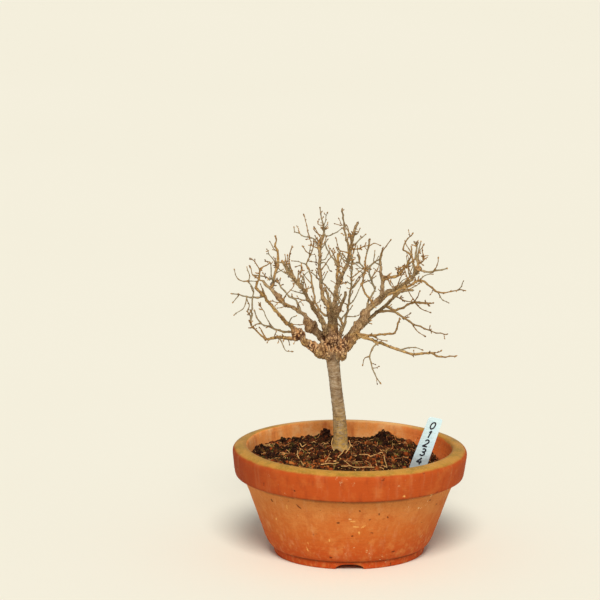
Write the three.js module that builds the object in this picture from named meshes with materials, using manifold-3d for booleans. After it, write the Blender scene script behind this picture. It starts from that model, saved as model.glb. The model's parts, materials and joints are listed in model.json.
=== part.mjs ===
// Japanese zelkova bonsai in broom style, in a round terracotta training pot.
// Millimetres, +Z up. The origin is the centre of the pot's foot on the surface it stands on.
// The front of the tree looks to -Y.

import * as THREE from "three";
import { mergeVertices } from "three/addons/utils/BufferGeometryUtils.js";
import Module from "manifold-3d";

const wasm = await Module();
wasm.setup();

// Pot sizes

const POT_SIDES = 48;
const POT_HEIGHT = 98.4;
const RIM_RADIUS = 106;
const COLLAR_LOW = 71.6;
const COLLAR_RADIUS = 103.6;
const BODY_TOP_RADIUS = 96.5;
const FOOT_RADIUS = 67.6;
const FOOT_INNER_RADIUS = 60.5;
const FOOT_HEIGHT = 5.5;
const FLOOR_TOP = 12.5;
const DRAIN_RADIUS = 12;
const NOTCH_WIDTH = 26;
const NOTCH_HEIGHT = 4.6;

// Fit between pieces that touch

const GAP = 0.3;

// Soil sizes

const SOIL_WALL_LEVEL = 84;
const SOIL_LOWEST = 76;
const SOIL_TILT = 4.2;
const MOUND_HEIGHT = 6.3;
const MOUND_SPREAD = 40;
const LUMP_COUNT = 34;

// Drain net sizes

const NET_SIZE = 36;
const NET_THICKNESS = 1.2;
const NET_CELLS = 4;
const NET_BAR = 1.6;

// Label sizes

const LABEL_WIDTH = 15;
const LABEL_LENGTH = 108;
const LABEL_POINT = 16;
const LABEL_THICKNESS = 0.9;
const LABEL_LEAN = 18;
const LABEL_TURN = 10;
const LABEL_AT_SOIL = [61.5, -27, 84];
const LABEL_SHOWN = 49;

// Tree sizes

const ROOT_HOLE_RADIUS = 9.2;
const ROOT_HOLE_FLOOR = 60;
const SPUR_STEP = 35;
const SPUR_LENGTH = 5.2;
const SPUR_RADIUS = 0.62;
const TIP_RADIUS = 0.5;
const TREE_REACH = 105;

// Limb routes give x and the height at which an eye a little above level sees each point.
// A point that lies further back by y is seen higher by VIEW_SLOPE times y.

const VIEW_SLOPE = 0.253;

// Repeatable random numbers, with a seed of their own for each part of the model

const TREE_SEED = 20611;
const BURR_SEED = 731;
const SOIL_SEED = 9042;
let seed = TREE_SEED;

function random() {
  seed = (seed * 16807) % 2147483647;
  return seed / 2147483647;
}

function between(low, high) {
  return low + (high - low) * random();
}

// Solid helpers

function toSolid(geometry) {
  const bare = geometry.clone();
  bare.deleteAttribute("normal");
  bare.deleteAttribute("uv");
  const merged = mergeVertices(bare, 1e-4);
  const vertProperties = new Float32Array(merged.attributes.position.array);
  const triVerts = new Uint32Array(merged.index.array);
  return new wasm.Manifold(new wasm.Mesh({ numProp: 3, vertProperties, triVerts }));
}

function toGeometry(solid) {
  const mesh = solid.getMesh();
  const geometry = new THREE.BufferGeometry();
  geometry.setAttribute("position", new THREE.BufferAttribute(new Float32Array(mesh.vertProperties), 3));
  geometry.setIndex(Array.from(mesh.triVerts));
  geometry.computeVertexNormals();
  return geometry;
}

function closedMesh(positions, index) {
  const geometry = new THREE.BufferGeometry();
  geometry.setAttribute("position", new THREE.Float32BufferAttribute(positions, 3));
  geometry.setIndex(index);
  return geometry;
}

// Wood: a closed tapering tube with one ring at each point of its route

function sidesFor(radius) {
  if (radius > 4.5) return 9;
  if (radius > 2.6) return 6;
  if (radius > 1.5) return 5;
  if (radius > 1.0) return 4;
  return 3;
}

function tube(points, radii, sides) {
  const positions = [];
  const index = [];
  const across = new THREE.Vector3(0.31, 0.87, 0.12);
  points.forEach((point, i) => {
    const before = points[Math.max(i - 1, 0)];
    const after = points[Math.min(i + 1, points.length - 1)];
    const along = after.clone().sub(before).normalize();
    across.addScaledVector(along, -across.dot(along)).normalize();
    const other = along.clone().cross(across);
    for (let s = 0; s < sides; s += 1) {
      const turn = (2 * Math.PI * s) / sides;
      const spot = point.clone();
      spot.addScaledVector(across, radii[i] * Math.cos(turn));
      spot.addScaledVector(other, radii[i] * Math.sin(turn));
      positions.push(spot.x, spot.y, spot.z);
    }
  });
  for (let i = 0; i + 1 < points.length; i += 1) {
    for (let s = 0; s < sides; s += 1) {
      const a = i * sides + s;
      const b = i * sides + ((s + 1) % sides);
      index.push(a, b, b + sides, a, b + sides, a + sides);
    }
  }
  const last = (points.length - 1) * sides;
  for (let s = 1; s + 1 < sides; s += 1) {
    index.push(0, s + 1, s);
    index.push(last, last + s, last + s + 1);
  }
  return toSolid(closedMesh(positions, index));
}

function knob(center, size) {
  const geometry = new THREE.IcosahedronGeometry(1.08, 0);
  geometry.deleteAttribute("normal");
  geometry.deleteAttribute("uv");
  const merged = mergeVertices(geometry, 1e-4);
  const spots = merged.attributes.position;
  for (let i = 0; i < spots.count; i += 1) {
    const swell = between(0.88, 1.12);
    spots.setXYZ(
      i,
      center.x + spots.getX(i) * size[0] * swell,
      center.y + spots.getY(i) * size[1] * swell,
      center.z + spots.getZ(i) * size[2] * swell,
    );
  }
  return toSolid(merged);
}

// Routes: every stem keeps its points in space and the distance run at each of them

const stems = new Map();
const wood = [];

function seen(x, y, h) {
  return new THREE.Vector3(x, y, h - VIEW_SLOPE * y);
}

function runLengths(points) {
  const runs = [0];
  for (let i = 1; i < points.length; i += 1) {
    runs.push(runs[i - 1] + points[i].distanceTo(points[i - 1]));
  }
  return runs;
}

function spread(values, share) {
  const at = share * (values.length - 1);
  const i = Math.min(Math.floor(at), values.length - 2);
  return values[i] + (values[i + 1] - values[i]) * (at - i);
}

function nearestOnStem(stem, x, h) {
  let best = null;
  let least = Infinity;
  for (let i = 0; i + 1 < stem.points.length; i += 1) {
    const a = stem.points[i];
    const b = stem.points[i + 1];
    const ah = a.z + VIEW_SLOPE * a.y;
    const bh = b.z + VIEW_SLOPE * b.y;
    const dx = b.x - a.x;
    const dh = bh - ah;
    const t = Math.min(1, Math.max(0, ((x - a.x) * dx + (h - ah) * dh) / (dx * dx + dh * dh)));
    const off = Math.hypot(x - a.x - t * dx, h - ah - t * dh);
    if (off < least) {
      least = off;
      best = a.clone().lerp(b, t);
    }
  }
  return { spot: best, off: least };
}

function addStem(name, points, radii) {
  const stem = { name, points, radii, runs: runLengths(points) };
  stems.set(name, stem);
  const mean = radii.reduce((sum, radius) => sum + radius, 0) / radii.length;
  wood.push(tube(points, radii, sidesFor(mean)));
  return stem;
}

// Swollen joints where limbs fork: the limb's name, the joint as seen, and its radius

const joints = [
  ["left_low", -46, 202, 5.0],
  ["left_low", -34, 191, 4.9],
  ["left_high", -35, 209, 6.0],
  ["left_high", -64, 237, 3.4],
  ["left_upright", -65, 266, 2.8],
  ["front_gnarled", -10, 224, 3.4],
  ["right_main", 0, 195, 5.8],
  ["right_main", 8, 208, 5.2],
  ["right_main", 14, 219, 5.2],
  ["right_main", 26, 233, 4.2],
  ["right_fork", 34, 253.5, 2.6],
  ["right_front", 61, 260, 2.7],
];

function swollen(name, spot, radius) {
  const joint = joints.find(([stem, x, h]) => stem === name && Math.hypot(x - spot.x, h - spot.z) < 1);
  return joint ? Math.max(joint[3], radius) : radius;
}

// A limb starts on its parent and passes the given depths at even shares of its length

function limb(name, parent, depths, radii, route) {
  const root = nearestOnStem(stems.get(parent), route[0], route[1]);
  const flat = [];
  for (let i = 0; i < route.length; i += 2) flat.push(new THREE.Vector3(route[i], 0, route[i + 1]));
  if (root.off > 2.2) flat.unshift(new THREE.Vector3(root.spot.x, 0, root.spot.z + VIEW_SLOPE * root.spot.y));
  const flatRuns = runLengths(flat);
  const whole = flatRuns[flatRuns.length - 1];
  const points = flat.map((spot, i) => {
    const share = flatRuns[i] / whole;
    const step = i > 0 ? flatRuns[i] - flatRuns[i - 1] : 0;
    const wander = i > 0 && i + 1 < flat.length ? between(-0.2, 0.2) * step : 0;
    return seen(spot.x, spread([root.spot.y, ...depths], share) + wander, spot.z);
  });
  points[0] = root.spot;
  const thick = flat.map((spot, i) => swollen(name, spot, spread(radii, flatRuns[i] / whole)));
  return addStem(name, points, thick);
}

// A twig is a thin limb that ends nearer or further than its root by the given depth

let twigNumber = 0;

function twig(parent, away, radius, route) {
  twigNumber += 1;
  const root = nearestOnStem(stems.get(parent), route[0], route[1]);
  const end = Math.max(TIP_RADIUS, radius * 0.55);
  return limb(`twig_${twigNumber}`, parent, [root.spot.y + away], [radius, end], route);
}

// A fan sets seeded twigs round a limb, shorter towards its tip

function aside(along, turn, forward) {
  const flat = Math.abs(along.z) < 0.8 ? new THREE.Vector3(0, 0, 1) : new THREE.Vector3(1, 0, 0);
  const side = flat.cross(along).normalize();
  side.applyAxisAngle(along, turn);
  return side.addScaledVector(along, forward).normalize();
}

function alongStem(stem, distance) {
  let i = 1;
  while (i + 1 < stem.runs.length && stem.runs[i] < distance) i += 1;
  const t = (distance - stem.runs[i - 1]) / (stem.runs[i] - stem.runs[i - 1]);
  const spot = stem.points[i - 1].clone().lerp(stem.points[i], t);
  const along = stem.points[i].clone().sub(stem.points[i - 1]).normalize();
  return { spot, along, radius: stem.radii[i - 1] + (stem.radii[i] - stem.radii[i - 1]) * t };
}

function fan(parent, count, longest, radius) {
  const stem = stems.get(parent);
  const whole = stem.runs[stem.runs.length - 1];
  let turn = between(0, 2 * Math.PI);
  for (let k = 0; k < count; k += 1) {
    const share = 0.3 + (0.68 * (k + 0.5)) / count;
    const root = alongStem(stem, whole * share);
    turn += 2.4 + between(-0.3, 0.3);
    const heading = aside(root.along, turn, between(0.5, 0.9));
    heading.z += 0.35;
    heading.normalize();
    const length = longest * (1.15 - 0.6 * share) * between(0.8, 1.15);
    const points = [root.spot];
    const radii = [Math.min(radius, root.radius * 0.8)];
    for (let i = 1; i <= 3; i += 1) {
      heading.x += between(-0.35, 0.35);
      heading.y += between(-0.35, 0.35);
      heading.z += between(-0.1, 0.4);
      heading.normalize();
      points.push(points[i - 1].clone().addScaledVector(heading, length / 3));
      radii.push(Math.max(TIP_RADIUS, radii[0] * (1 - 0.16 * i)));
    }
    twigNumber += 1;
    addStem(`twig_${twigNumber}`, points, radii);
  }
}

// Trunk: buried root base, slim trunk, swollen crown and the column that goes on above it

const trunk = [
  [-7.2, 13, 62.5, 4.2],
  [-7.4, 13, 74, 6.0],
  [-7.6, 13, 85, 7.3],
  [-7.7, 13, 91, 7.4],
  [-7.8, 12.8, 96.5, 6.6],
  [-7.9, 12.3, 104, 6.15],
  [-8.6, 11.4, 118, 5.8],
  [-9.8, 10.2, 131, 5.5],
  [-11.2, 8.8, 142, 5.3],
  [-13.0, 7.2, 159, 5.3],
  [-14.7, 6, 174.5, 5.6],
  [-14.2, 6, 180, 7.2],
  [-13.8, 6, 188, 8.2],
  [-14, 6, 196, 7.0],
  [-15, 6, 203, 4.9],
  [-15, 6, 213, 4.4],
  [-16.5, 6, 220, 4.0],
  [-18, 6, 227, 3.2],
];

addStem(
  "trunk",
  trunk.map((p) => new THREE.Vector3(p[0], p[1], p[2])),
  trunk.map((p) => p[3]),
);

// Left side

limb("left_low", "trunk", [-8, -34], [6.4, 5.0, 4.2, 3.1, 2.6, 2.3, 2, 1.5], [
  -20, 184, -27, 184, -34, 191, -41, 195, -46, 202, -53, 209, -58, 213, -64, 220, -71, 228,
  -76, 235, -80, 239, -84, 243,
]);
limb("left_low_tip", "left_low", [-38], [1.4, 0.7], [
  -84, 243, -83, 247, -81, 253, -80, 259, -78, 262, -74, 264, -71.5, 266,
]);
twig("left_low_tip", -5, 0.8, [-80, 259, -83, 264, -86, 268, -89, 269]);
twig("left_low", 5, 0.8, [-78, 238, -78, 242]);
twig("left_low", -7, 0.9, [-55, 211, -51, 217, -48, 218]);
twig("left_low", 4, 0.8, [-74, 233, -77, 240, -80, 247]);
limb("left_reach", "left_low", [-42], [1.4, 0.6], [
  -77, 235, -83, 234.5, -90, 234.5, -95, 235.5, -99, 237, -105.3, 237.5,
]);
twig("left_reach", 6, 0.7, [-99, 237, -101.5, 233, -104.5, 230]);
twig("left_reach", -6, 0.8, [-92, 234.5, -95, 225, -98, 222, -103.5, 218]);

limb("left_back", "left_low", [10, 24], [1.6, 0.8], [
  -48, 202, -60, 204, -68, 206.5, -74, 209, -79, 211, -83, 216, -86, 224,
]);
twig("left_back", 5, 0.8, [-80, 211, -84, 211, -89, 208]);
twig("left_back", 14, 0.8, [-68, 206.5, -73, 213, -77, 222, -82, 231]);

limb("left_flat", "left_low", [-6, -26], [2.8, 2.4, 1.4], [
  -44, 198, -50, 197, -57, 198, -64, 198.5, -70, 197, -75.5, 196,
]);
twig("left_flat", 3, 1.2, [-75.5, 196, -77, 200, -79, 205, -81, 207]);
limb("left_flat_tip", "left_flat", [-34], [1.3, 0.8], [
  -75, 196, -81, 201, -85, 205, -88, 208, -90, 213,
]);
twig("left_flat", -8, 0.9, [-63, 198, -60, 191, -57, 185.5, -52, 185]);
twig("left_flat", 6, 0.8, [-55, 198, -54, 191.5]);
twig("left_flat", -5, 0.8, [-68, 198, -66, 203]);
limb("far_left_a", "left_flat_tip", [-28], [1.0, 0.6], [-88, 209, -89, 217, -91.5, 221, -90, 227, -92, 232]);
limb("far_left_b", "left_flat_tip", [-44], [1.1, 0.9], [
  -89, 211, -88, 217, -87.5, 226, -87, 234, -86, 239, -88, 245, -91, 249,
]);
twig("far_left_b", -8, 0.9, [-91, 248.5, -96, 249, -100, 250.5, -103, 259]);
twig("far_left_b", 6, 0.9, [-90, 248, -90, 256, -92, 262]);
twig("far_left_b", 8, 0.7, [-91, 248.5, -84, 249]);

limb("left_high", "trunk", [10, 28, 46], [5, 4.6, 2.7, 2.5, 2.5, 2.7, 2.2, 1.7], [
  -22, 197, -29, 203, -35, 209, -40, 219, -47, 224, -55, 228.5, -60, 231, -64, 237, -70, 243,
  -74, 247, -78, 252,
]);
twig("left_high", 8, 0.9, [-60, 231, -66, 232, -71, 233]);
twig("left_high", -7, 0.8, [-52, 227, -58, 227.5, -65, 226]);
twig("left_high", 9, 0.9, [-60, 232, -57, 239, -51, 246, -49.5, 250]);
twig("left_high", 12, 0.9, [-78, 252, -83, 254, -88, 259, -90, 266]);
limb("left_long", "left_high", [26, 58], [1.3, 0.7], [
  -43, 222, -48, 233, -53, 236, -57, 240, -62, 246, -66, 252, -72, 254, -78, 256.5, -87, 258,
]);
twig("left_high", -6, 0.9, [-38, 211, -44, 210.5, -50, 210.5]);
limb("left_upright", "left_high", [52], [1.6, 1.6, 2.2, 1.5, 0.8], [
  -71, 245, -69, 249, -68, 256, -67, 261, -65, 266, -64.5, 272, -65, 280, -67, 285, -66, 290, -67, 294,
]);
twig("left_upright", 6, 0.9, [-67, 259, -60, 263]);
twig("left_upright", -7, 1.0, [-70, 249, -71, 262, -71.5, 269, -76, 270]);
twig("left_upright", 8, 0.7, [-65, 279, -69, 283, -72, 289]);

limb("left_front", "trunk", [-14, -40, -60], [4, 3.2, 2.6, 2.3, 1.9, 1.5], [
  -20, 202, -21, 206, -24, 213, -27.5, 218, -31, 223, -35, 230, -38.5, 235, -41, 241, -44, 245,
  -49, 251, -54, 258, -57, 262, -60, 266,
]);
twig("left_front", -6, 1.1, [-49, 251, -52, 258, -54, 265, -54, 272, -51.5, 280]);
twig("left_front", -4, 0.8, [-56, 261, -58, 272.5]);
twig("left_front", 8, 1.0, [-46, 248, -46, 255, -43, 260, -44, 263, -48, 262.5]);
twig("left_front", 9, 0.9, [-44, 246, -41, 254, -37, 258.5, -34, 259]);
twig("left_front", -9, 0.9, [-38, 238, -43, 238, -47, 239.5, -53, 241]);
twig("left_front", -12, 0.9, [-60, 265, -66, 266, -71, 271, -74, 277]);

limb("back_left_thin", "trunk", [30, 60], [1.5, 1.2, 1.0, 0.8], [
  -22, 219, -30, 229, -31.5, 237, -33, 245, -34, 252, -35, 258, -37, 264, -39, 267, -38, 270,
  -35, 277, -33, 281, -32, 289,
]);
twig("back_left_thin", 10, 0.8, [-35, 277, -39, 280, -42, 284.5]);
twig("back_left_thin", 8, 0.8, [-39, 267, -43, 269, -47, 270.5, -52, 271]);
twig("back_left_thin", -8, 0.7, [-36, 270, -30, 269]);

// Middle

limb("mid_left", "trunk", [16, 44], [3.0, 2.6, 2.3, 2.3, 2.2, 1.5, 1.0, 0.7], [
  -18, 226, -22, 232, -24.5, 238, -25.5, 245, -26, 252, -27, 260, -27, 275, -28, 282, -27, 288,
  -23.5, 296, -24, 303, -25, 310, -26.5, 320,
]);
limb("top_left", "mid_left", [52], [1.0, 0.6], [
  -28, 284, -33, 291, -40, 293, -45, 296, -49, 298, -50, 302,
]);
twig("top_left", 8, 0.8, [-36, 292, -38, 300, -39.5, 308, -41, 313]);
twig("mid_left", -7, 0.8, [-23, 297, -21.5, 308, -20, 314]);
twig("mid_left", -12, 0.9, [-24, 294, -18, 293, -14, 295, -6, 300]);
twig("mid_left", -8, 0.9, [-27, 267, -22, 268, -19, 263, -17, 260]);
twig("mid_left", -7, 0.8, [-26, 249, -22, 255, -20, 259]);
twig("mid_left", 9, 0.8, [-27, 270, -22, 271.5, -19, 277]);
twig("mid_left", 14, 0.9, [-28, 281, -33, 284, -36, 291]);

limb("mid_front", "trunk", [-4, -22], [3.2, 2.7, 2.4, 2.3, 2.2, 1.8, 1.5], [
  -15, 224, -13, 232, -12, 240, -11, 247, -9.5, 252, -6, 258, -3, 264, -1, 269, 0, 275, 1, 280,
  2, 285, 4, 296, 7, 303,
]);
limb("mid_front_top", "mid_front", [-30], [1.3, 1.0], [
  -1, 277, -2, 285, -4, 292, -5, 298, -5.5, 305, -7, 315,
]);
twig("mid_front", 8, 0.9, [1, 284, -1, 295, -3, 301, -9, 302, -13.5, 303]);
twig("mid_front", -10, 0.9, [2, 279, 8, 279.5, 13, 282, 18, 282.5, 22, 284.5, 27, 282.5]);
twig("mid_front", -9, 0.9, [0, 276, -5, 277, -9, 278, -12.5, 289]);
twig("mid_front", -7, 0.8, [-1, 269, -6, 274, -9, 276.5]);
twig("mid_front", 8, 0.9, [-1, 266, 5, 267, 9, 266.5, 14, 262]);

limb("mid_back", "trunk", [10, 22], [2.4, 2.0, 1.6], [
  -16, 220, -13, 231, -12, 242, -11, 250, -10.5, 262, -10, 276,
]);
limb("mid_back_long", "mid_back", [36], [1.2, 0.8], [-11, 264, -14, 271, -18, 277, -22, 287]);
twig("mid_back", 8, 0.8, [-10.5, 262, -8.5, 268, -6.5, 276]);

limb("front_thin", "trunk", [-14, -44, -60], [1.9, 1.5, 1.3, 1.0], [
  -9, 200, -5, 209, -3.5, 215, -2, 222, -1, 229, 0, 236, 1, 245, 1.3, 255, 1.5, 264, 0.5, 273,
]);
twig("front_thin", -6, 0.9, [1, 242, 4, 244, 7, 249, 10, 253]);
twig("front_thin", 6, 0.9, [1.5, 252, 5, 255, 13, 261]);
twig("front_thin", 8, 0.9, [-1, 228, 3, 231, 7.5, 239, 10, 247]);
twig("front_thin", -9, 0.8, [1, 246, -3, 247.5, -7, 246.5]);
twig("front_thin", -6, 0.8, [-3, 217, 4, 217.5, 8, 218.5]);

limb("front_gnarled", "trunk", [-18, -34], [2.8, 2.2, 1.7], [
  -13, 214, -10, 224, -8, 227, -6, 231, -4.5, 235, -4, 239,
]);
twig("front_gnarled", -4, 1.2, [-8, 228, -10, 233, -8, 237]);
limb("front_stub", "trunk", [-22, -30], [2.2, 1.5], [-16, 216, -17, 228, -19, 234, -22, 243]);

limb("back_mid", "trunk", [24, 50, 78], [3.4, 2.7, 2.1, 1.7, 1.2], [
  -14, 200, -14, 212, -13.5, 224, -12.5, 234, -11.5, 243, -9.5, 251, -5.5, 259, -2, 267, 0, 276,
  1.5, 285, 3, 296,
]);
limb("back_low", "trunk", [40, 74], [2.6, 2.0, 1.4, 1.0], [
  -10, 196, -8, 204, -6, 211, -9, 218, -12, 225, -9, 233,
]);
limb("back_left", "left_front", [30, 60, 80], [2.0, 1.8, 1.5, 1.1], [
  -27.5, 218, -35, 230, -42, 243, -50, 253, -57, 263, -61, 272,
]);
limb("back_high", "mid_left", [52, 74], [1.7, 1.3, 0.9], [
  -25, 245, -25.5, 256, -27, 266, -26.5, 277, -25, 287, -22, 296,
]);

// Right side

limb("right_main", "trunk", [4, 14], [6.4, 5.4, 4.7, 4.4, 3.6, 3.1, 2.6, 2.2, 1.7], [
  -6, 188, 0, 195, 4, 202, 8, 208, 14, 219, 20, 227, 26, 233, 29, 238, 30, 244, 30, 250,
  29, 257, 28, 265, 27.5, 272,
]);
twig("right_main", -6, 1.1, [27.5, 271, 31, 280, 34, 285, 37, 288.5]);
twig("right_main", 7, 0.9, [28, 266, 22, 269, 22.5, 274, 23, 279]);

limb("right_back", "right_main", [34, 52], [1.4, 1.2, 1.0, 0.8], [
  21, 229, 18, 235, 14, 240, 12, 248, 13, 256, 15, 262, 15, 272, 17, 280, 19, 291,
]);
twig("right_back", 12, 0.9, [14, 262, 19, 265, 23, 269, 27, 275]);
twig("right_back", 10, 0.9, [12, 249, 18, 252, 24, 256]);
limb("right_back_low", "right_main", [36, 72], [1.5, 1.2, 0.9], [
  15, 222, 17, 232, 23, 243, 21, 250, 18, 260, 11, 268, 8, 277,
]);

limb("right_fork", "right_main", [2, -16], [2.2, 1.8, 1.4, 1.0], [
  30, 252, 34, 253.5, 39, 254.5, 44, 256, 48, 261, 51, 264, 53.5, 269, 55, 274,
]);
twig("right_fork", -6, 1.2, [55, 274, 50, 277.5, 47.5, 279, 51, 287, 56, 293]);
twig("right_fork", 7, 0.9, [44, 256, 44, 262]);
twig("right_fork", 9, 0.8, [52, 266, 58, 270, 63, 277]);

limb("right_front", "right_main", [-14, -38, -58], [3, 2.4, 2.0, 1.9], [
  27, 234, 34, 240, 41, 243, 47, 246, 52, 248, 56, 252, 61, 260,
]);
limb("right_cluster", "right_front", [-54], [2, 1.7, 1.4], [61, 259, 60, 266, 58, 270, 59, 280, 57, 284]);
twig("right_cluster", 7, 1.2, [60, 268, 61, 277, 63, 285]);
twig("right_cluster", -7, 1.0, [60, 264, 65, 267, 64, 276]);
limb("right_tip", "right_front", [-62], [1.4, 0.9], [61, 259, 67, 257, 74, 257.5, 80, 258.5, 86, 260]);
twig("right_tip", -7, 0.8, [74, 257.5, 77, 262, 78, 269]);
twig("right_front", 7, 1.0, [55, 251, 57, 261, 55, 267]);
twig("right_front", -9, 0.9, [42, 244, 45, 252, 49, 258]);

limb("right_long", "right_main", [6, 26], [2.2, 1.6, 1.4, 1.1, 0.6], [
  26, 233, 37, 239, 46, 243, 55, 246.5, 60, 250, 67, 250.5, 72, 246.5, 76, 243.5, 80, 240.5,
  90, 241, 100, 243, 105, 242.5,
]);
twig("right_long", -7, 0.8, [98, 243, 101, 246, 103, 251]);
twig("right_long", 9, 0.8, [80, 240.5, 84, 234, 90, 231]);
twig("right_long", 10, 0.9, [63, 250.5, 68, 256, 75, 259]);

limb("right_low_back", "right_main", [22, 46], [2.8, 2.4, 1.9, 1.4], [
  6, 205, 15, 212, 21, 217.5, 31, 225, 36, 230, 43, 238, 47, 241, 58, 242.5,
]);
limb("right_back_far", "right_low_back", [58, 76], [1.6, 1.4, 0.9], [
  40, 235, 44, 243, 51, 248, 57, 254, 60, 263, 58, 274, 57, 285,
]);
limb("right_flat", "right_low_back", [22, 6], [1.7, 1.4, 1.0, 0.6], [
  27, 221.5, 34, 223.5, 42, 222, 47, 219, 57, 212, 67, 207.5, 78, 203, 88, 201.5,
]);
twig("right_flat", -8, 0.8, [57, 212, 61, 205, 68, 200]);
limb("right_low_mid", "right_low_back", [40, 60], [1.7, 1.3, 0.8], [
  33, 227, 42, 224.5, 48, 226.5, 54, 230, 60, 232, 70, 231, 77, 232,
]);
twig("right_low_mid", -9, 0.9, [58, 231.5, 60, 234, 63, 238, 64, 242]);
twig("right_low_mid", 8, 0.9, [60, 232, 66, 226, 74, 223]);

limb("right_low", "trunk", [-8, -36], [3, 2.3, 2.1, 1.9, 1.7, 1.3, 0.7], [
  -5, 188, 1, 190, 4, 195, 11, 199, 19, 196.5, 27, 193.5, 33, 191, 45, 186.5, 56, 182.5, 62, 182.5,
  73, 183.5, 77, 181.5, 81, 180, 88, 180, 95, 180.5,
]);
twig("right_low", 7, 0.8, [73, 183.5, 78, 184, 82, 185.5]);
twig("right_low", -8, 1.0, [45, 186.5, 54, 188.5, 60, 188.5, 65, 186.5]);
limb("right_mid", "right_main", [-8, -22], [1.9, 1.4, 1.0], [
  4, 201, 12, 201, 19, 200, 33, 201.5, 39, 201.5, 42, 206, 45, 215,
]);
twig("right_mid", -8, 0.9, [20, 200, 24, 197.5, 33, 195]);
limb("right_hanging", "right_low", [-24], [1.2, 0.7], [
  26, 194, 21, 189, 18.5, 180.5, 19, 175, 21, 168, 24, 161, 27.5, 156,
]);
twig("right_hanging", 5, 0.8, [18.5, 180.5, 14, 179, 12, 173]);

// Seeded twigs round the limbs that the front view hides, so the crown is full on every side

fan("back_mid", 9, 32, 1.2);
fan("back_low", 4, 28, 1.0);
fan("back_left", 5, 24, 1.0);
fan("back_high", 5, 22, 0.9);
fan("back_left_thin", 2, 18, 0.8);
fan("right_back_far", 5, 24, 1.0);
fan("right_back_low", 4, 22, 1.0);
fan("right_back", 2, 18, 0.9);
fan("front_thin", 3, 20, 0.9);
fan("left_front", 4, 22, 1.0);
fan("right_front", 4, 22, 1.0);

// Seeded spurs with a bud at the tip, along every stem that is thin enough, out to its end

const bearing = [...stems.values()].filter((stem) => stem.name !== "trunk");

for (const stem of bearing) {
  const whole = stem.runs[stem.runs.length - 1];
  let at = between(0.5, 1) * SPUR_STEP;
  let turn = between(0, 2 * Math.PI);
  while (at < whole - 2) {
    const root = alongStem(stem, at);
    turn += Math.PI + between(-0.7, 0.7);
    const heading = aside(root.along, turn, between(0.5, 1.0));
    heading.z += 0.25;
    heading.normalize();
    const length = SPUR_LENGTH * between(0.7, 1.35) + root.radius;
    const tip = root.spot.clone().addScaledVector(heading, length);
    if (root.radius < 2.6 && Math.abs(tip.x) < TREE_REACH) {
      wood.push(tube([root.spot, tip], [SPUR_RADIUS, TIP_RADIUS], 3));
    }
    at += SPUR_STEP * between(0.7, 1.3);
  }
}

// Root ridges at the foot of the trunk, sunk into the root base

const RIDGES = 6;

for (let i = 0; i < RIDGES; i += 1) {
  const turn = (2 * Math.PI * (i + 0.35)) / RIDGES;
  const out = new THREE.Vector3(Math.cos(turn), Math.sin(turn), 0);
  const ridge = [
    new THREE.Vector3(-8, 12.4, 108).addScaledVector(out, 4.4),
    new THREE.Vector3(-7.8, 12.8, 98).addScaledVector(out, 5.4),
    new THREE.Vector3(-7.7, 13, 91.5).addScaledVector(out, 6.7),
    new THREE.Vector3(-7.6, 13, 84).addScaledVector(out, 6.4),
  ];
  wood.push(tube(ridge, [0.9, 1.5, 2.0, 1.6], 5));
}

// Burrs of the crown and swollen joints of the limbs, as seen from the front

const burrs = [
  [-22, 2, 189, 6.4, 6.0, 6.0],
  [-15, 0, 196, 6.6, 5.6, 5.4],
  [-5.5, 3, 191, 6.0, 5.6, 5.8],
  [-8, -1, 183, 5.6, 4.6, 4.6],
  [-21, 6, 181.5, 4.4, 4.6, 3.2],
  [-9, 12, 188, 6.2, 5.6, 6.0],
  [-19, 12, 194, 6.0, 5.4, 5.6],
  [-6, 7, 181.5, 3.6, 4.2, 2.8],
];

seed = BURR_SEED;
for (const [x, y, h, ...size] of burrs) wood.push(knob(seen(x, y, h), size));

const treeSolid = wasm.Manifold.union(wood).simplify(0.02);

// Pot: thrown shell turned from one closed profile, with three arched notches in its foot

const potProfile = [
  [DRAIN_RADIUS, FLOOR_TOP],
  [59, FLOOR_TOP],
  [64.5, 14.2],
  [67.4, 17.5],
  [73.5, 32],
  [82.4, 57],
  [87.5, COLLAR_LOW],
  [90.2, 83],
  [91.4, 91],
  [91.9, POT_HEIGHT - 3.6],
  [92.6, POT_HEIGHT - 1],
  [94, POT_HEIGHT],
  [96.4, POT_HEIGHT - 0.2],
  [100.5, POT_HEIGHT - 1.2],
  [104, POT_HEIGHT - 2.6],
  [105.6, POT_HEIGHT - 4.4],
  [RIM_RADIUS, POT_HEIGHT - 7],
  [104.4, 77],
  [COLLAR_RADIUS, COLLAR_LOW + 0.8],
  [COLLAR_RADIUS - 1.2, COLLAR_LOW],
  [BODY_TOP_RADIUS + 1, COLLAR_LOW - 0.6],
  [BODY_TOP_RADIUS - 0.4, COLLAR_LOW - 3],
  [91, 57],
  [82, 32],
  [76.3, 16],
  [73.8, 11],
  [71.4, 8.2],
  [69.2, 7.3],
  [69, 6.3],
  [FOOT_RADIUS + 0.4, 0.7],
  [FOOT_RADIUS - 0.5, 0],
  [FOOT_INNER_RADIUS + 0.6, 0],
  [FOOT_INNER_RADIUS, 0.7],
  [FOOT_INNER_RADIUS - 1, FOOT_HEIGHT],
  [DRAIN_RADIUS + 0.9, FOOT_HEIGHT],
  [DRAIN_RADIUS, FOOT_HEIGHT + 0.9],
];

function turned(profile) {
  const loop = [...profile, profile[0]].reverse();
  const geometry = new THREE.LatheGeometry(
    loop.map(([r, z]) => new THREE.Vector2(r, z)),
    POT_SIDES,
  );
  geometry.rotateX(Math.PI / 2);
  return toSolid(geometry);
}

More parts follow.
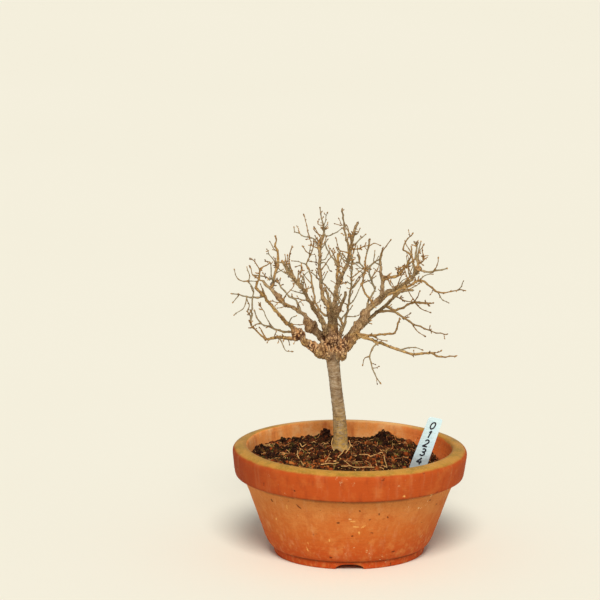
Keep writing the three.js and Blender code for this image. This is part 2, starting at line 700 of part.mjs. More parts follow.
function notch(turn) {
  const arch = new THREE.Shape();
  arch.moveTo(-NOTCH_WIDTH / 2, -1);
  arch.lineTo(NOTCH_WIDTH / 2, -1);
  arch.lineTo(NOTCH_WIDTH / 2, 0);
  arch.lineTo(NOTCH_WIDTH * 0.4, NOTCH_HEIGHT * 0.72);
  arch.lineTo(NOTCH_WIDTH * 0.2, NOTCH_HEIGHT);
  arch.lineTo(-NOTCH_WIDTH * 0.2, NOTCH_HEIGHT);
  arch.lineTo(-NOTCH_WIDTH * 0.4, NOTCH_HEIGHT * 0.72);
  arch.lineTo(-NOTCH_WIDTH / 2, 0);
  const geometry = new THREE.ExtrudeGeometry(arch, { depth: 22, bevelEnabled: false });
  geometry.rotateX(Math.PI / 2);
  geometry.translate(0, -FOOT_INNER_RADIUS + 8, 0);
  geometry.rotateZ(turn);
  return toSolid(geometry);
}

let potSolid = turned(potProfile);
for (const turn of [0, 120, 240]) {
  potSolid = potSolid.subtract(notch(THREE.MathUtils.degToRad(turn)));
}

// Soil: fills the pot just inside its wall, with a mounded, lumpy top

seed = SOIL_SEED;
const lumps = [];
for (let i = 0; i < LUMP_COUNT; i += 1) {
  const turn = between(0, 2 * Math.PI);
  const reach = 82 * Math.sqrt(between(0.04, 1));
  lumps.push({
    x: reach * Math.cos(turn),
    y: reach * Math.sin(turn),
    size: between(5, 10),
    rise: between(-1.2, 2.6),
  });
}
lumps.push({ x: -22, y: 58, size: 7, rise: 10 });
lumps.push({ x: 32, y: 66, size: 10, rise: 10 });
lumps.push({ x: 50, y: 62, size: 11, rise: 4 });
lumps.push({ x: -78, y: 28, size: 12, rise: 3 });
lumps.push({ x: 84, y: 24, size: 15, rise: -4.5 });

function soilLevel(x, y) {
  const fromTrunk = Math.hypot(x - trunk[3][0], y - trunk[3][1]);
  let level = SOIL_WALL_LEVEL + MOUND_HEIGHT * Math.exp(-((fromTrunk / MOUND_SPREAD) ** 2));
  level -= SOIL_TILT * (x / 90);
  for (const lump of lumps) {
    const off = Math.hypot(x - lump.x, y - lump.y) / lump.size;
    level += lump.rise * Math.exp(-off * off);
  }
  return Math.max(SOIL_LOWEST, level);
}

const soilWall = [
  [59 - GAP, FLOOR_TOP + GAP],
  [64.5 - GAP, 14.2 + GAP],
  [67.4 - GAP, 17.5 + GAP],
  [73.5 - GAP, 32],
  [82.4 - GAP, 57],
  [87.5 - GAP, COLLAR_LOW],
];
const soilRings = [88, 83.5, 77, 69, 61, 53, 45, 37, 29, 21, 12, 5];

function soilBody() {
  const positions = [0, 0, FLOOR_TOP + GAP];
  const index = [];
  const rings = [];
  const addRing = (radius, level) => {
    rings.push(positions.length / 3);
    for (let s = 0; s < POT_SIDES; s += 1) {
      const turn = (2 * Math.PI * s) / POT_SIDES;
      const x = radius * Math.cos(turn);
      const y = radius * Math.sin(turn);
      positions.push(x, y, level === null ? soilLevel(x, y) : level);
    }
  };
  soilWall.forEach(([radius, level]) => addRing(radius, level));
  soilRings.forEach((radius) => addRing(radius, null));
  const top = positions.length / 3;
  positions.push(0, 0, soilLevel(0, 0));
  const next = (s) => (s + 1) % POT_SIDES;
  for (let s = 0; s < POT_SIDES; s += 1) {
    index.push(0, rings[0] + next(s), rings[0] + s);
    for (let k = 0; k + 1 < rings.length; k += 1) {
      const a = rings[k] + s;
      const b = rings[k] + next(s);
      const c = rings[k + 1] + next(s);
      const d = rings[k + 1] + s;
      index.push(a, b, c, a, c, d);
    }
    const last = rings[rings.length - 1];
    index.push(last + s, last + next(s), top);
  }
  return toSolid(closedMesh(positions, index));
}

function post(x, y, low, high, radius, sides) {
  const geometry = new THREE.CylinderGeometry(radius, radius, high - low, sides);
  geometry.rotateX(Math.PI / 2);
  geometry.translate(x, y, (low + high) / 2);
  return toSolid(geometry);
}

// Label: a flat tag with rounded top corners and a point, cut in the XZ plane and then leaned

function labelOutline(margin) {
  const half = LABEL_WIDTH / 2 + margin;
  const top = LABEL_SHOWN + margin;
  const low = LABEL_SHOWN - LABEL_LENGTH - margin;
  const shape = new THREE.Shape();
  shape.moveTo(-1.2, low);
  shape.lineTo(1.2, low);
  shape.lineTo(half, low + LABEL_POINT);
  shape.lineTo(half, top - 2);
  shape.lineTo(half - 0.6, top - 0.6);
  shape.lineTo(half - 2, top);
  shape.lineTo(-half + 2, top);
  shape.lineTo(-half + 0.6, top - 0.6);
  shape.lineTo(-half, top - 2);
  shape.lineTo(-half, low + LABEL_POINT);
  return shape;
}

function labelBody(margin) {
  const depth = LABEL_THICKNESS + 2 * margin;
  const geometry = new THREE.ExtrudeGeometry(labelOutline(margin), { depth, bevelEnabled: false });
  geometry.translate(0, 0, -depth / 2);
  geometry.rotateX(Math.PI / 2);
  geometry.rotateZ(THREE.MathUtils.degToRad(LABEL_TURN));
  geometry.rotateY(THREE.MathUtils.degToRad(LABEL_LEAN));
  geometry.translate(...LABEL_AT_SOIL);
  return geometry;
}

// Drain net: square plastic mesh of crossed bars

function netBody() {
  const pitch = (NET_SIZE - NET_BAR) / NET_CELLS;
  const bars = [];
  for (let i = 0; i <= NET_CELLS; i += 1) {
    const at = -NET_SIZE / 2 + NET_BAR / 2 + i * pitch;
    const level = FLOOR_TOP + GAP + NET_THICKNESS / 2;
    const along = new THREE.BoxGeometry(NET_SIZE, NET_BAR, NET_THICKNESS);
    const across = new THREE.BoxGeometry(NET_BAR, NET_SIZE, NET_THICKNESS);
    bars.push(toSolid(along.translate(0, at, level)), toSolid(across.translate(at, 0, level)));
  }
  return toGeometry(wasm.Manifold.union(bars));
}

function pocket() {
  const reach = NET_SIZE + 2 * GAP;
  const height = NET_THICKNESS + 2 * GAP;
  const geometry = new THREE.BoxGeometry(reach, reach, height + 2);
  geometry.translate(0, 0, FLOOR_TOP + GAP + height - (height + 2) / 2);
  return toSolid(geometry);
}

let soilSolid = soilBody();
soilSolid = soilSolid.subtract(post(trunk[0][0], trunk[0][1], ROOT_HOLE_FLOOR, 120, ROOT_HOLE_RADIUS, 24));
soilSolid = soilSolid.subtract(toSolid(labelBody(GAP)));
soilSolid = soilSolid.subtract(pocket());

// Materials

function finish(color, roughness) {
  return new THREE.MeshStandardMaterial({ color, roughness, metalness: 0 });
}

const bark = finish(0x8a6f52, 0.85);
const terracotta = finish(0xc8632e, 0.8);
const earth = finish(0x2f231b, 0.95);
const plastic = finish(0xe4eaee, 0.45);
const mesh = finish(0x25282a, 0.6);

function piece(name, geometry, material) {
  const body = new THREE.Mesh(geometry, material);
  body.name = name;
  return body;
}

const bonsai = new THREE.Group();
bonsai.name = "zelkova_bonsai";
bonsai.add(piece("tree", toGeometry(treeSolid), bark));
bonsai.add(piece("pot", toGeometry(potSolid), terracotta));
bonsai.add(piece("soil", toGeometry(soilSolid), earth));
bonsai.add(piece("label", labelBody(0), plastic));
bonsai.add(piece("drain_screen", netBody(), mesh));

export default bonsai;
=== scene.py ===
"""Japanese zelkova bonsai in broom style, in a round terracotta training pot.

Sizes are in millimetres and turn into metres when a mesh is written. The front looks to -Y.
"""

import json
import logging
import math
from collections.abc import Callable, Iterable, Sequence
from dataclasses import dataclass, field
from enum import Enum

import bmesh
import bpy
from mathutils import Matrix, Quaternion, Vector, kdtree, noise

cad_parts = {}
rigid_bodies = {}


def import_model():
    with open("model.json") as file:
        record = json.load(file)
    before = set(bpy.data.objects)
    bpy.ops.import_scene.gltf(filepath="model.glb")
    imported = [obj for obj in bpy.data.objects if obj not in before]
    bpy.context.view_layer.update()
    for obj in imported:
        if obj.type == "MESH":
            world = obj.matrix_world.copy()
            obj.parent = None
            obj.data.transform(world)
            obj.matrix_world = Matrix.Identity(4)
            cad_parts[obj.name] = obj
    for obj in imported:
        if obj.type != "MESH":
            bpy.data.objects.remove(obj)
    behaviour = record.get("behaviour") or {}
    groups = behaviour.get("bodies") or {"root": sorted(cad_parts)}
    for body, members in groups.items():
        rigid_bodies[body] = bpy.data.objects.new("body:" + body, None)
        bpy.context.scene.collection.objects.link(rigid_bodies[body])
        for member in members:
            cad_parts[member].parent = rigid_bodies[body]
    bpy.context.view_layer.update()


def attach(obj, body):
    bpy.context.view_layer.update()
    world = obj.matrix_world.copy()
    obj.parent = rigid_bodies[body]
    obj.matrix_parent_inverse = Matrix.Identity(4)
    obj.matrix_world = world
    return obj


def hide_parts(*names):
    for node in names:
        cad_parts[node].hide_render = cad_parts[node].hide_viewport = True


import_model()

MM = 0.001
BATCH = 200
NOISE_SEED = 5
MERGE = 1e-7
GOLDEN_TURN = 2.4
LOG = logging.getLogger("bonsai")

Colour = tuple[float, float, float, float]
Line = list[tuple[Vector, float]]
Mark = tuple[float, float, float, float, float]
Socket = bpy.types.NodeSocket


def srgb(red: int, green: int, blue: int) -> Colour:
    """Turns a colour, read as 0 to 255, into linear light.

    Args:
        red: red as seen.
        green: green as seen.
        blue: blue as seen.

    Returns:
        The linear colour with full alpha.
    """
    bytes_seen = [part / 255 for part in (red, green, blue)]
    linear = [c / 12.92 if c <= 0.04045 else ((c + 0.055) / 1.055) ** 2.4 for c in bytes_seen]
    return (linear[0], linear[1], linear[2], 1.0)


def smooth_share(value: float, low: float, high: float) -> float:
    """Returns 0 below low, 1 above high and a smooth ramp between."""
    share = min(1.0, max(0.0, (value - low) / (high - low)))
    return share * share * (3 - 2 * share)


@dataclass
class Draw:
    """Repeatable random numbers from a seed, the same series as the solid model's."""

    state: int

    def unit(self) -> float:
        """Returns the next number between 0 and 1."""
        self.state = self.state * 16807 % 2147483647
        return self.state / 2147483647

    def between(self, low: float, high: float) -> float:
        """Returns the next number between low and high."""
        return low + (high - low) * self.unit()

    def turn(self) -> float:
        """Returns the next turn, anywhere in a full round."""
        return self.between(0, math.tau)

    def heading(self) -> Vector:
        """Returns the next heading, from three numbers."""
        return Vector([self.between(-1, 1) for _ in range(3)]).normalized()


# Node boards


@dataclass
class Board:
    """Short calls that lay nodes on one node tree."""

    tree: bpy.types.NodeTree

    def feed(self, socket: Socket, value: object) -> None:
        """Links a socket's source, or sets its constant.

        Args:
            socket: the socket to feed.
            value: another node's output, or a constant.
        """
        if isinstance(value, Socket):
            self.tree.links.new(value, socket)
        else:
            socket.default_value = value

    def node(self, kind: str, inputs: dict | None = None, **settings: object) -> bpy.types.Node:
        """Adds a node.

        Args:
            kind: the node's type.
            inputs: sockets by name or number, each with a source or a constant.
            settings: the node's own settings.

        Returns:
            The new node.
        """
        made = self.tree.nodes.new(kind)
        for key, value in settings.items():
            setattr(made, key, value)
        for key, value in (inputs or {}).items():
            self.feed(made.inputs[key], value)
        return made

    def millimetres(self) -> Socket:
        """Returns the object's own coordinates in millimetres."""
        spot = self.node("ShaderNodeTexCoord").outputs["Object"]
        return self.stretch(spot, (1000, 1000, 1000))

    def stretch(self, vector: object, scale: Sequence[float]) -> Socket:
        """Returns a vector scaled along each axis."""
        inputs = {"Vector": vector, "Scale": scale}
        return self.node("ShaderNodeMapping", inputs).outputs["Vector"]

    def noise(self, vector: object, scale: object, detail: float = 3.0, rough: float = 0.55) -> Socket:
        """Returns cloud noise from 0 to 1."""
        inputs = {"Vector": vector, "Scale": scale, "Detail": detail, "Roughness": rough}
        return self.node("ShaderNodeTexNoise", inputs).outputs["Fac"]

    def maths(self, operation: str, *values: object) -> Socket:
        """Returns the result of a Math node."""
        return self.node("ShaderNodeMath", dict(enumerate(values)), operation=operation).outputs[0]

    def add(self, first: object, second: object) -> Socket:
        """Returns the sum of two values."""
        return self.maths("ADD", first, second)

    def less(self, first: object, second: object) -> Socket:
        """Returns the first value less the second."""
        return self.maths("SUBTRACT", first, second)

    def times(self, first: object, second: object) -> Socket:
        """Returns the product of two values."""
        return self.maths("MULTIPLY", first, second)

    def vectors(self, operation: str, *values: object) -> bpy.types.Node:
        """Returns a Vector Math node."""
        return self.node("ShaderNodeVectorMath", dict(enumerate(values)), operation=operation)

    def step(self, value: object, low: object, high: object) -> Socket:
        """Returns a smooth step from 0 at low to 1 at high."""
        inputs = {"Value": value, "From Min": low, "From Max": high}
        return self.node("ShaderNodeMapRange", inputs, interpolation_type="SMOOTHSTEP").outputs["Result"]

    def mix(self, share: object, first: object, second: object) -> Socket:
        """Returns a blend of two colours."""
        inputs = {0: share, 6: first, 7: second}
        return self.node("ShaderNodeMix", inputs, data_type="RGBA", clamp_factor=True).outputs[2]

    def wash(self, colour: object, mask: object, amount: object, tint: object) -> Socket:
        """Returns a colour washed with a tint where the mask is, at most by the amount."""
        return self.mix(self.times(mask, amount), colour, tint)

    def ramp(self, value: object, stops: Sequence[tuple[float, Colour]]) -> Socket:
        """Lays a colour ramp.

        Args:
            value: the place along the ramp.
            stops: places from 0 to 1, each with its colour.

        Returns:
            The ramp's colour.
        """
        made = self.node("ShaderNodeValToRGB", {"Fac": value})
        elements = made.color_ramp.elements
        while len(elements) < len(stops):
            elements.new(0.5)
        for element, (place, colour) in zip(elements, stops):
            element.position = place
            element.color = colour
        return made.outputs["Color"]

    def attribute(self, name: str) -> Socket:
        """Returns a number painted on the mesh."""
        return self.node("ShaderNodeAttribute", None, attribute_name=name).outputs["Fac"]

    def axis(self, vector: object, letter: str) -> Socket:
        """Returns one axis of a vector."""
        return self.node("ShaderNodeSeparateXYZ", {"Vector": vector}).outputs[letter]

    def reach(self, vector: object) -> Socket:
        """Returns the distance from the upright axis."""
        flat = self.vectors("MULTIPLY", vector, (1, 1, 0)).outputs[0]
        return self.vectors("LENGTH", flat).outputs["Value"]

    def ruffled(self, vector: object, scale: float, most: float) -> Socket:
        """Shifts coordinates here and there, so that what they draw has ragged edges.

        Args:
            vector: the coordinates.
            scale: how close together the shifts are.
            most: the largest shift.

        Returns:
            The shifted coordinates.
        """
        inputs = {"Vector": vector, "Scale": scale, "Detail": 2.0}
        cloud = self.node("ShaderNodeTexNoise", inputs).outputs["Color"]
        shift = self.vectors("MULTIPLY", cloud, (most,) * 3).outputs[0]
        return self.vectors("ADD", vector, shift).outputs[0]

    def group(self, tree: bpy.types.NodeTree, inputs: dict) -> Socket:
        """Places a shared effect and returns its first output."""
        return self.node("ShaderNodeGroup", inputs, node_tree=tree).outputs[0]

    def relief(self, height: object, depth: float) -> Socket:
        """Returns a normal bumped by a height of the given depth in millimetres."""
        inputs = {"Height": height, "Strength": 1.0, "Distance": depth * MM}
        return self.node("ShaderNodeBump", inputs).outputs["Normal"]


class Effect(Enum):
    """Shared effects, each a node group that puts out one mask."""

    PATCHES = "patches"
    SPECKS = "specks"
    STREAKS = "streaks"


def shared_effect(effect: Effect) -> bpy.types.NodeTree:
    """Builds a shared effect once and returns its node group.

    Args:
        effect: which effect.

    Returns:
        A group with Vector, Scale, Low and High inputs and a Mask output.
    """
    if effect.value in bpy.data.node_groups:
        return bpy.data.node_groups[effect.value]
    tree = bpy.data.node_groups.new(effect.value, "ShaderNodeTree")
    tree.interface.new_socket("Vector", in_out="INPUT", socket_type="NodeSocketVector")
    for name in ("Scale", "Low", "High"):
        tree.interface.new_socket(name, in_out="INPUT", socket_type="NodeSocketFloat")
    tree.interface.new_socket("Mask", in_out="OUTPUT", socket_type="NodeSocketFloat")
    board = Board(tree)
    given = board.node("NodeGroupInput").outputs
    if effect is Effect.SPECKS:
        made = board.node("ShaderNodeTexVoronoi", {"Vector": given["Vector"], "Scale": given["Scale"]})
        near = board.step(made.outputs["Distance"], given["High"], given["Low"])
        some = board.step(board.axis(made.outputs["Color"], "X"), 0.55, 0.6)
        mask = board.times(near, some)
    elif effect is Effect.STREAKS:
        drawn = board.stretch(given["Vector"], (1.0, 1.0, 0.09))
        mask = board.step(board.noise(drawn, given["Scale"], 4.0, 0.6), given["Low"], given["High"])
    else:
        cloud = board.noise(given["Vector"], given["Scale"], 5.0, 0.6)
        mask = board.step(cloud, given["Low"], given["High"])
    board.feed(board.node("NodeGroupOutput").inputs["Mask"], mask)
    return tree


@dataclass(frozen=True)
class Finish:
    """A finish: its name, its evenness, its sheen and what all finishes share."""

    name: str
    roughness: float = 0.8
    sheen: float = 0.25

    def start(self) -> tuple[bpy.types.Material, Board, bpy.types.Node]:
        """Starts the material.

        Returns:
            The new material, its board and its surface shader.
        """
        material = bpy.data.materials.new(self.name)
        material.use_nodes = True
        shader = material.node_tree.nodes["Principled BSDF"]
        shader.inputs["Roughness"].default_value = self.roughness
        shader.inputs["Specular IOR Level"].default_value = self.sheen
        return material, Board(material.node_tree), shader

    def mask(
        self, board: Board, effect: Effect, vector: object, scale: float, low: float, high: float,
    ) -> Socket:
        """Returns the mask of a shared effect with this finish's values."""
        inputs = {"Vector": vector, "Scale": scale, "Low": low, "High": high}
        return board.group(shared_effect(effect), inputs)


@dataclass(frozen=True)
class Terracotta(Finish):
    """Fired clay with a thin ochre glaze on the lip, weathered by watering."""

    name: str = "terracotta"
    roughness: float = 0.78
    sheen: float = 0.15
    collar: Colour = srgb(184, 78, 26)
    collar_pale: Colour = srgb(196, 102, 44)
    collar_dark: Colour = srgb(152, 58, 20)
    body: Colour = srgb(200, 104, 40)
    body_low: Colour = srgb(190, 82, 27)
    foot: Colour = srgb(190, 72, 22)
    ochre: Colour = srgb(218, 144, 76)
    rust: Colour = srgb(174, 76, 28)
    inside: Colour = srgb(242, 154, 79)
    inside_pale: Colour = srgb(244, 186, 122)
    inside_dark: Colour = srgb(204, 104, 50)
    inside_red: Colour = srgb(216, 93, 30)
    glaze: Colour = srgb(196, 142, 56)
    glaze_olive: Colour = srgb(160, 124, 44)
    glaze_pale: Colour = srgb(214, 164, 86)
    glaze_edge_shade: Colour = srgb(160, 112, 44)
    lime: Colour = srgb(240, 206, 150)
    splash: Colour = srgb(246, 190, 104)
    # Dark brown for specks and scratches, and for painted shade in the hollows.
    soot_and_shade: Colour = srgb(84, 38, 14)
    scratches: tuple[Mark, ...] = (
        (-69.1, 63.6, 63, 2.4, 1.0), (-45, 62.7, 41, 4.0, 0.8), (-9.8, 49.3, 0, 2.2, 1.2),
        (-48.7, 80.2, 60, 1.5, 1.0), (9.4, 61.8, 20, 1.3, 1.0), (26.7, 57.3, 80, 1.5, 0.8),
        (34.5, 53.4, 60, 1.3, 1.0), (2.8, 36, 0, 1.3, 0.9), (40, 17, -10, 2.6, 0.9),
        (37.6, 2.9, 90, 3.0, 0.6), (72.8, 63.3, 0, 1.4, 0.8), (-16.3, 13.4, 0, 1.8, 1.2),
    )
    splashes: tuple[Mark, ...] = (
        (6.3, 45.4, 8, 3.6, 1.1), (12.7, 45.5, -35, 3.0, 1.2), (9, 39.2, 90, 1.7, 1.1),
        (3.2, 51, 0, 3.0, 1.0), (48.8, 75.2, 0, 1.6, 1.5), (-36.5, 25.5, 90, 1.8, 0.9),
        (-37.4, 19.8, 67, 3.2, 0.9), (-65.2, 44.6, 90, 1.6, 0.9), (-55.5, 60, 85, 3.2, 0.8),
        (73.7, 71.9, -12, 2.8, 0.8), (-17.6, 30.7, 90, 2.2, 1.0),
    )
    front: float = -88.0
    low_level: tuple[float, float] = (40.0, 12.0)
    foot_level: tuple[float, float] = (9.0, 5.5)
    upper_level: tuple[float, float] = (62.0, 98.0)
    glaze_level: tuple[float, float] = (95.4, 97.4)
    glaze_reach: tuple[float, float] = (93.6, 94.6)

    def marked(self, board: Board, spot: object, marks: Sequence[Mark]) -> Socket:
        """Masks single marks on the front of the pot.

        Args:
            board: the material's board.
            spot: the coordinates, roughened a little.
            marks: each mark's x, height, turn in degrees, and half its length and width.

        Returns:
            The mask of all the marks.
        """
        mask: object = 0.0
        for x, z, turn, wide, high in marks:
            turned = (0, math.radians(turn), 0)
            inputs = {"Vector": spot, "Location": (x, self.front, z), "Rotation": turned}
            inputs["Scale"] = (wide, 90, high)
            local = board.node("ShaderNodeMapping", inputs, vector_type="TEXTURE").outputs["Vector"]
            away = board.vectors("LENGTH", local).outputs["Value"]
            mask = board.maths("MAXIMUM", mask, board.step(away, 1.0, 0.5))
        return mask

    def build(self) -> bpy.types.Material:
        """Lays the finish's nodes.

        Returns:
            The material.
        """
        material, board, shader = self.start()
        spot = board.millimetres()
        level = board.axis(spot, "Z")
        cloud = board.noise(spot, 0.05, 6.0, 0.64)
        fine = board.noise(spot, 0.6, 4.0, 0.6)
        wash = board.noise(board.stretch(spot, (1.0, 1.0, 0.16)), 0.075, 5.0, 0.62)
        upper = board.step(board.add(level, board.times(cloud, 60.0)), *self.upper_level)
        body = board.mix(board.step(level, *self.low_level), self.body, self.body_low)
        body = board.wash(body, upper, 0.68, self.ochre)
        body = board.wash(body, board.step(level, *self.foot_level), 0.85, self.foot)
        body = board.wash(body, board.step(wash, 0.52, 0.74), 0.42, self.rust)
        mottle = self.mask(board, Effect.PATCHES, board.stretch(spot, (1.0, 1.0, 0.7)), 0.11, 0.5, 0.68)
        body = board.wash(body, mottle, 0.4, self.ochre)
        blotch = self.mask(board, Effect.PATCHES, spot, 0.3, 0.5, 0.66)
        body = board.wash(body, blotch, 0.3, self.ochre)
        body = board.wash(body, board.step(fine, 0.52, 0.7), 0.22, self.body_low)
        streak = self.mask(board, Effect.STREAKS, spot, 0.14, 0.52, 0.74)
        body = board.wash(body, streak, 0.16, self.lime)
        patch = self.mask(board, Effect.PATCHES, spot, 0.09, 0.46, 0.68)
        collar = board.wash(self.collar, patch, 0.6, self.collar_pale)
        dusk = self.mask(board, Effect.PATCHES, board.stretch(spot, (1.0, 1.0, 0.4)), 0.16, 0.5, 0.74)
        collar = board.wash(collar, dusk, 0.55, self.collar_dark)
        # Painted shade: the collar darkens towards its left side (-X).
        left_shade = board.step(board.add(board.axis(spot, "X"), board.times(cloud, 40.0)), -30.0, -85.0)
        collar = board.wash(collar, left_shade, 0.75, self.collar_dark)
        collar = board.wash(collar, streak, 0.08, self.lime)
        inside = board.wash(self.inside, patch, 0.7, self.inside_pale)
        inside = board.wash(inside, board.step(wash, 0.5, 0.66), 0.7, self.inside_dark)
        inside = board.wash(inside, streak, 0.4, self.inside_pale)
        # Painted shade: the inside wall turns darker and redder towards its right side (+X).
        right_red_and_shade = board.step(board.add(board.axis(spot, "X"), board.times(cloud, 30.0)), 50.0, 92.0)
        inside = board.wash(inside, right_red_and_shade, 0.8, self.inside_red)
        colour = board.mix(board.attribute("collar"), body, collar)
        colour = board.mix(board.attribute("inner"), colour, inside)
        bent = board.ruffled(spot, 0.35, 7.0)
        dark = self.mask(board, Effect.SPECKS, bent, 0.085, 0.06, 0.16)
        colour = board.wash(colour, dark, 0.6, self.soot_and_shade)
        chalk = self.mask(board, Effect.SPECKS, board.stretch(bent, (1.3, 1.3, 0.6)), 0.2, 0.08, 0.26)
        chalk = board.times(chalk, self.mask(board, Effect.PATCHES, spot, 0.04, 0.5, 0.6))
        plain = board.less(0.85, board.times(board.attribute("collar"), 0.55))
        colour = board.wash(colour, chalk, plain, self.lime)
        colour = board.wash(colour, board.step(fine, 0.42, 0.7), 0.2, self.rust)
        jagged = board.ruffled(spot, 1.0, 1.5)
        scratched = self.marked(board, jagged, self.scratches)
        colour = board.wash(colour, scratched, 0.8, self.soot_and_shade)
        splashed = board.times(self.marked(board, jagged, self.splashes), board.step(fine, 0.34, 0.6))
        colour = board.wash(colour, splashed, 0.8, self.splash)
        # Grime with painted shade darkens the hollow under the collar and the foot groove.
        grime_and_shade = board.times(board.attribute("grime_and_shade"), board.step(cloud, 0.2, 0.6))
        colour = board.wash(colour, grime_and_shade, 0.85, self.soot_and_shade)
        ragged = board.times(board.noise(spot, 0.1, 4.0, 0.6), 1.8)
        tilted = board.add(level, board.times(board.axis(spot, "X"), 0.0172))
        outside = board.step(board.add(tilted, ragged), *self.glaze_level)
        reach = board.add(board.reach(spot), ragged)
        glazed = board.times(outside, board.step(reach, *self.glaze_reach))
        olive = self.mask(board, Effect.PATCHES, spot, 0.06, 0.4, 0.62)
        glaze = board.mix(olive, self.glaze, self.glaze_olive)
        glaze = board.wash(glaze, board.step(fine, 0.5, 0.72), 0.7, self.glaze_pale)
        # Painted shade: the glaze darkens towards the lip's inner edge on the front half.
        front = board.step(board.axis(spot, "Y"), 50.0, 0.0)
        edge = board.times(board.step(reach, 98.6, 95.4), board.times(front, 0.6))
        glaze = board.mix(edge, glaze, self.glaze_edge_shade)
        glaze = board.wash(glaze, board.step(board.axis(spot, "Y"), 60.0, 88.0), 0.8, self.inside_pale)
        colour = board.wash(colour, glazed, 0.93, glaze)
        board.feed(shader.inputs["Base Color"], colour)
        worn = board.add(self.roughness, board.times(fine, 0.12))
        board.feed(shader.inputs["Roughness"], board.less(worn, board.times(glazed, 0.4)))
        grit = board.noise(spot, 2.2, 3.0, 0.7)
        rings = board.noise(board.stretch(spot, (0.02, 0.02, 0.9)), 1.0, 2.0, 0.5)
        height = board.add(board.times(grit, 0.35), rings)
        height = board.less(height, board.times(board.maths("MAXIMUM", dark, scratched), 0.8))
        board.feed(shader.inputs["Normal"], board.relief(height, 0.28))
        return material


@dataclass(frozen=True)
class Bark(Finish):
    """Zelkova bark: grey-brown trunk, golden-brown limbs, greyer twigs and dark buds."""

    name: str = "bark"
    roughness: float = 0.82
    trunk: Colour = srgb(158, 130, 96)
    trunk_pale: Colour = srgb(194, 172, 142)
    trunk_dark: Colour = srgb(108, 78, 50)
    limb: Colour = srgb(168, 129, 76)
    limb_gold: Colour = srgb(212, 173, 104)
    limb_grey: Colour = srgb(176, 153, 116)
    limb_dark: Colour = srgb(106, 65, 30)
    crown: Colour = srgb(216, 158, 104)
    crown_pale: Colour = srgb(248, 208, 160)
    crown_dark: Colour = srgb(100, 46, 22)
    twig: Colour = srgb(155, 119, 69)
    twig_grey: Colour = srgb(150, 135, 103)
    bud: Colour = srgb(106, 72, 46)
    bud_gold: Colour = srgb(202, 154, 92)
    hollow_shade: Colour = srgb(74, 36, 15)
    lichen: Colour = srgb(186, 154, 120)
    moss: Colour = srgb(204, 160, 74)
    moss_level: tuple[float, float] = (150.0, 96.0)
    twig_girth: tuple[float, float] = (0.55, 1.5)

    def build(self) -> bpy.types.Material:
        """Lays the finish's nodes.

        Returns:
            The material.
        """
        material, board, shader = self.start()
        spot = board.millimetres()
        grain = board.node("ShaderNodeAttribute", None, attribute_name="grain").outputs["Vector"]
        level = board.axis(spot, "Z")
        girth = board.attribute("girth")
        tone = board.attribute("tone")
        patch = self.mask(board, Effect.PATCHES, spot, 0.26, 0.42, 0.62)
        small = self.mask(board, Effect.PATCHES, spot, 0.7, 0.46, 0.62)
        broad = board.noise(spot, 0.07, 3.0, 0.6)
        fine = board.noise(spot, 1.1, 4.0, 0.65)
        streak = board.noise(board.stretch(grain, (1.0, 1.0, 0.28)), 0.75, 5.0, 0.65)
        flaky = board.noise(board.stretch(spot, (0.5, 0.5, 1.3)), 0.55, 5.0, 0.68)
        greyed = board.step(board.add(tone, board.times(broad, 0.5)), 0.55, 0.95)
        twig = board.mix(greyed, self.twig, self.twig_grey)
        twig = board.wash(twig, small, 0.5, self.limb_dark)
        limb = board.mix(patch, self.limb, self.limb_gold)
        limb = board.wash(limb, greyed, 0.75, self.limb_grey)
        limb = board.wash(limb, board.step(streak, 0.51, 0.6), 0.85, self.limb_dark)
        limb = board.wash(limb, small, 0.35, self.lichen)
        wood = board.mix(board.step(girth, *self.twig_girth), twig, limb)
        bands = board.noise(board.stretch(spot, (0.16, 0.16, 0.42)), 1.0, 4.0, 0.7)
        trunk = board.mix(board.step(bands, 0.42, 0.6), self.trunk, self.trunk_pale)
        rings = board.noise(board.stretch(spot, (0.1, 0.1, 1.1)), 1.0, 3.0, 0.6)
        trunk = board.wash(trunk, board.step(rings, 0.54, 0.64), 0.5, self.trunk_dark)
        low = board.times(board.step(level, *self.moss_level), board.step(flaky, 0.66, 0.4))
        trunk = board.wash(trunk, low, 0.9, self.moss)
        trunk = board.wash(trunk, board.step(flaky, 0.52, 0.68), 0.55, self.trunk_dark)
        smudge = self.mask(board, Effect.PATCHES, board.stretch(spot, (0.8, 0.8, 0.5)), 0.16, 0.48, 0.64)
        trunk = board.wash(trunk, smudge, 0.5, self.trunk_dark)
        wood = board.mix(board.attribute("shaft"), wood, trunk)
        tall = board.stretch(spot, (1.0, 1.0, 0.3))
        bleached = self.mask(board, Effect.PATCHES, tall, 0.3, 0.42, 0.62)
        heart = board.mix(bleached, self.crown, self.crown_pale)
        sinew = board.step(board.noise(board.stretch(spot, (1.0, 1.0, 0.2)), 0.75, 4.0, 0.6), 0.52, 0.62)
        heart = board.wash(heart, sinew, 0.7, self.crown_dark)
        wood = board.wash(wood, board.attribute("knot"), 0.9, heart)
        scale = board.mix(board.step(board.noise(spot, 0.5, 2.0, 0.6), 0.42, 0.6), self.bud, self.bud_gold)
        wood = board.wash(wood, board.attribute("bud"), 0.85, scale)
        # Painted shade: pits and the carved crevices are darkened with a shade colour.
        pits = self.mask(board, Effect.SPECKS, board.stretch(spot, (1.0, 1.0, 0.55)), 0.5, 0.1, 0.28)
        wood = board.wash(wood, pits, 0.5, self.hollow_shade)
        wood = board.mix(board.attribute("hollow_shade"), wood, self.hollow_shade)
        wood = board.wash(wood, board.step(fine, 0.52, 0.72), 0.35, self.trunk_dark)
        board.feed(shader.inputs["Base Color"], wood)
        height = board.add(board.times(fine, 0.5), board.times(streak, 0.7))
        height = board.less(height, board.times(pits, 0.4))
        board.feed(shader.inputs["Normal"], board.relief(height, 0.35))
        return material


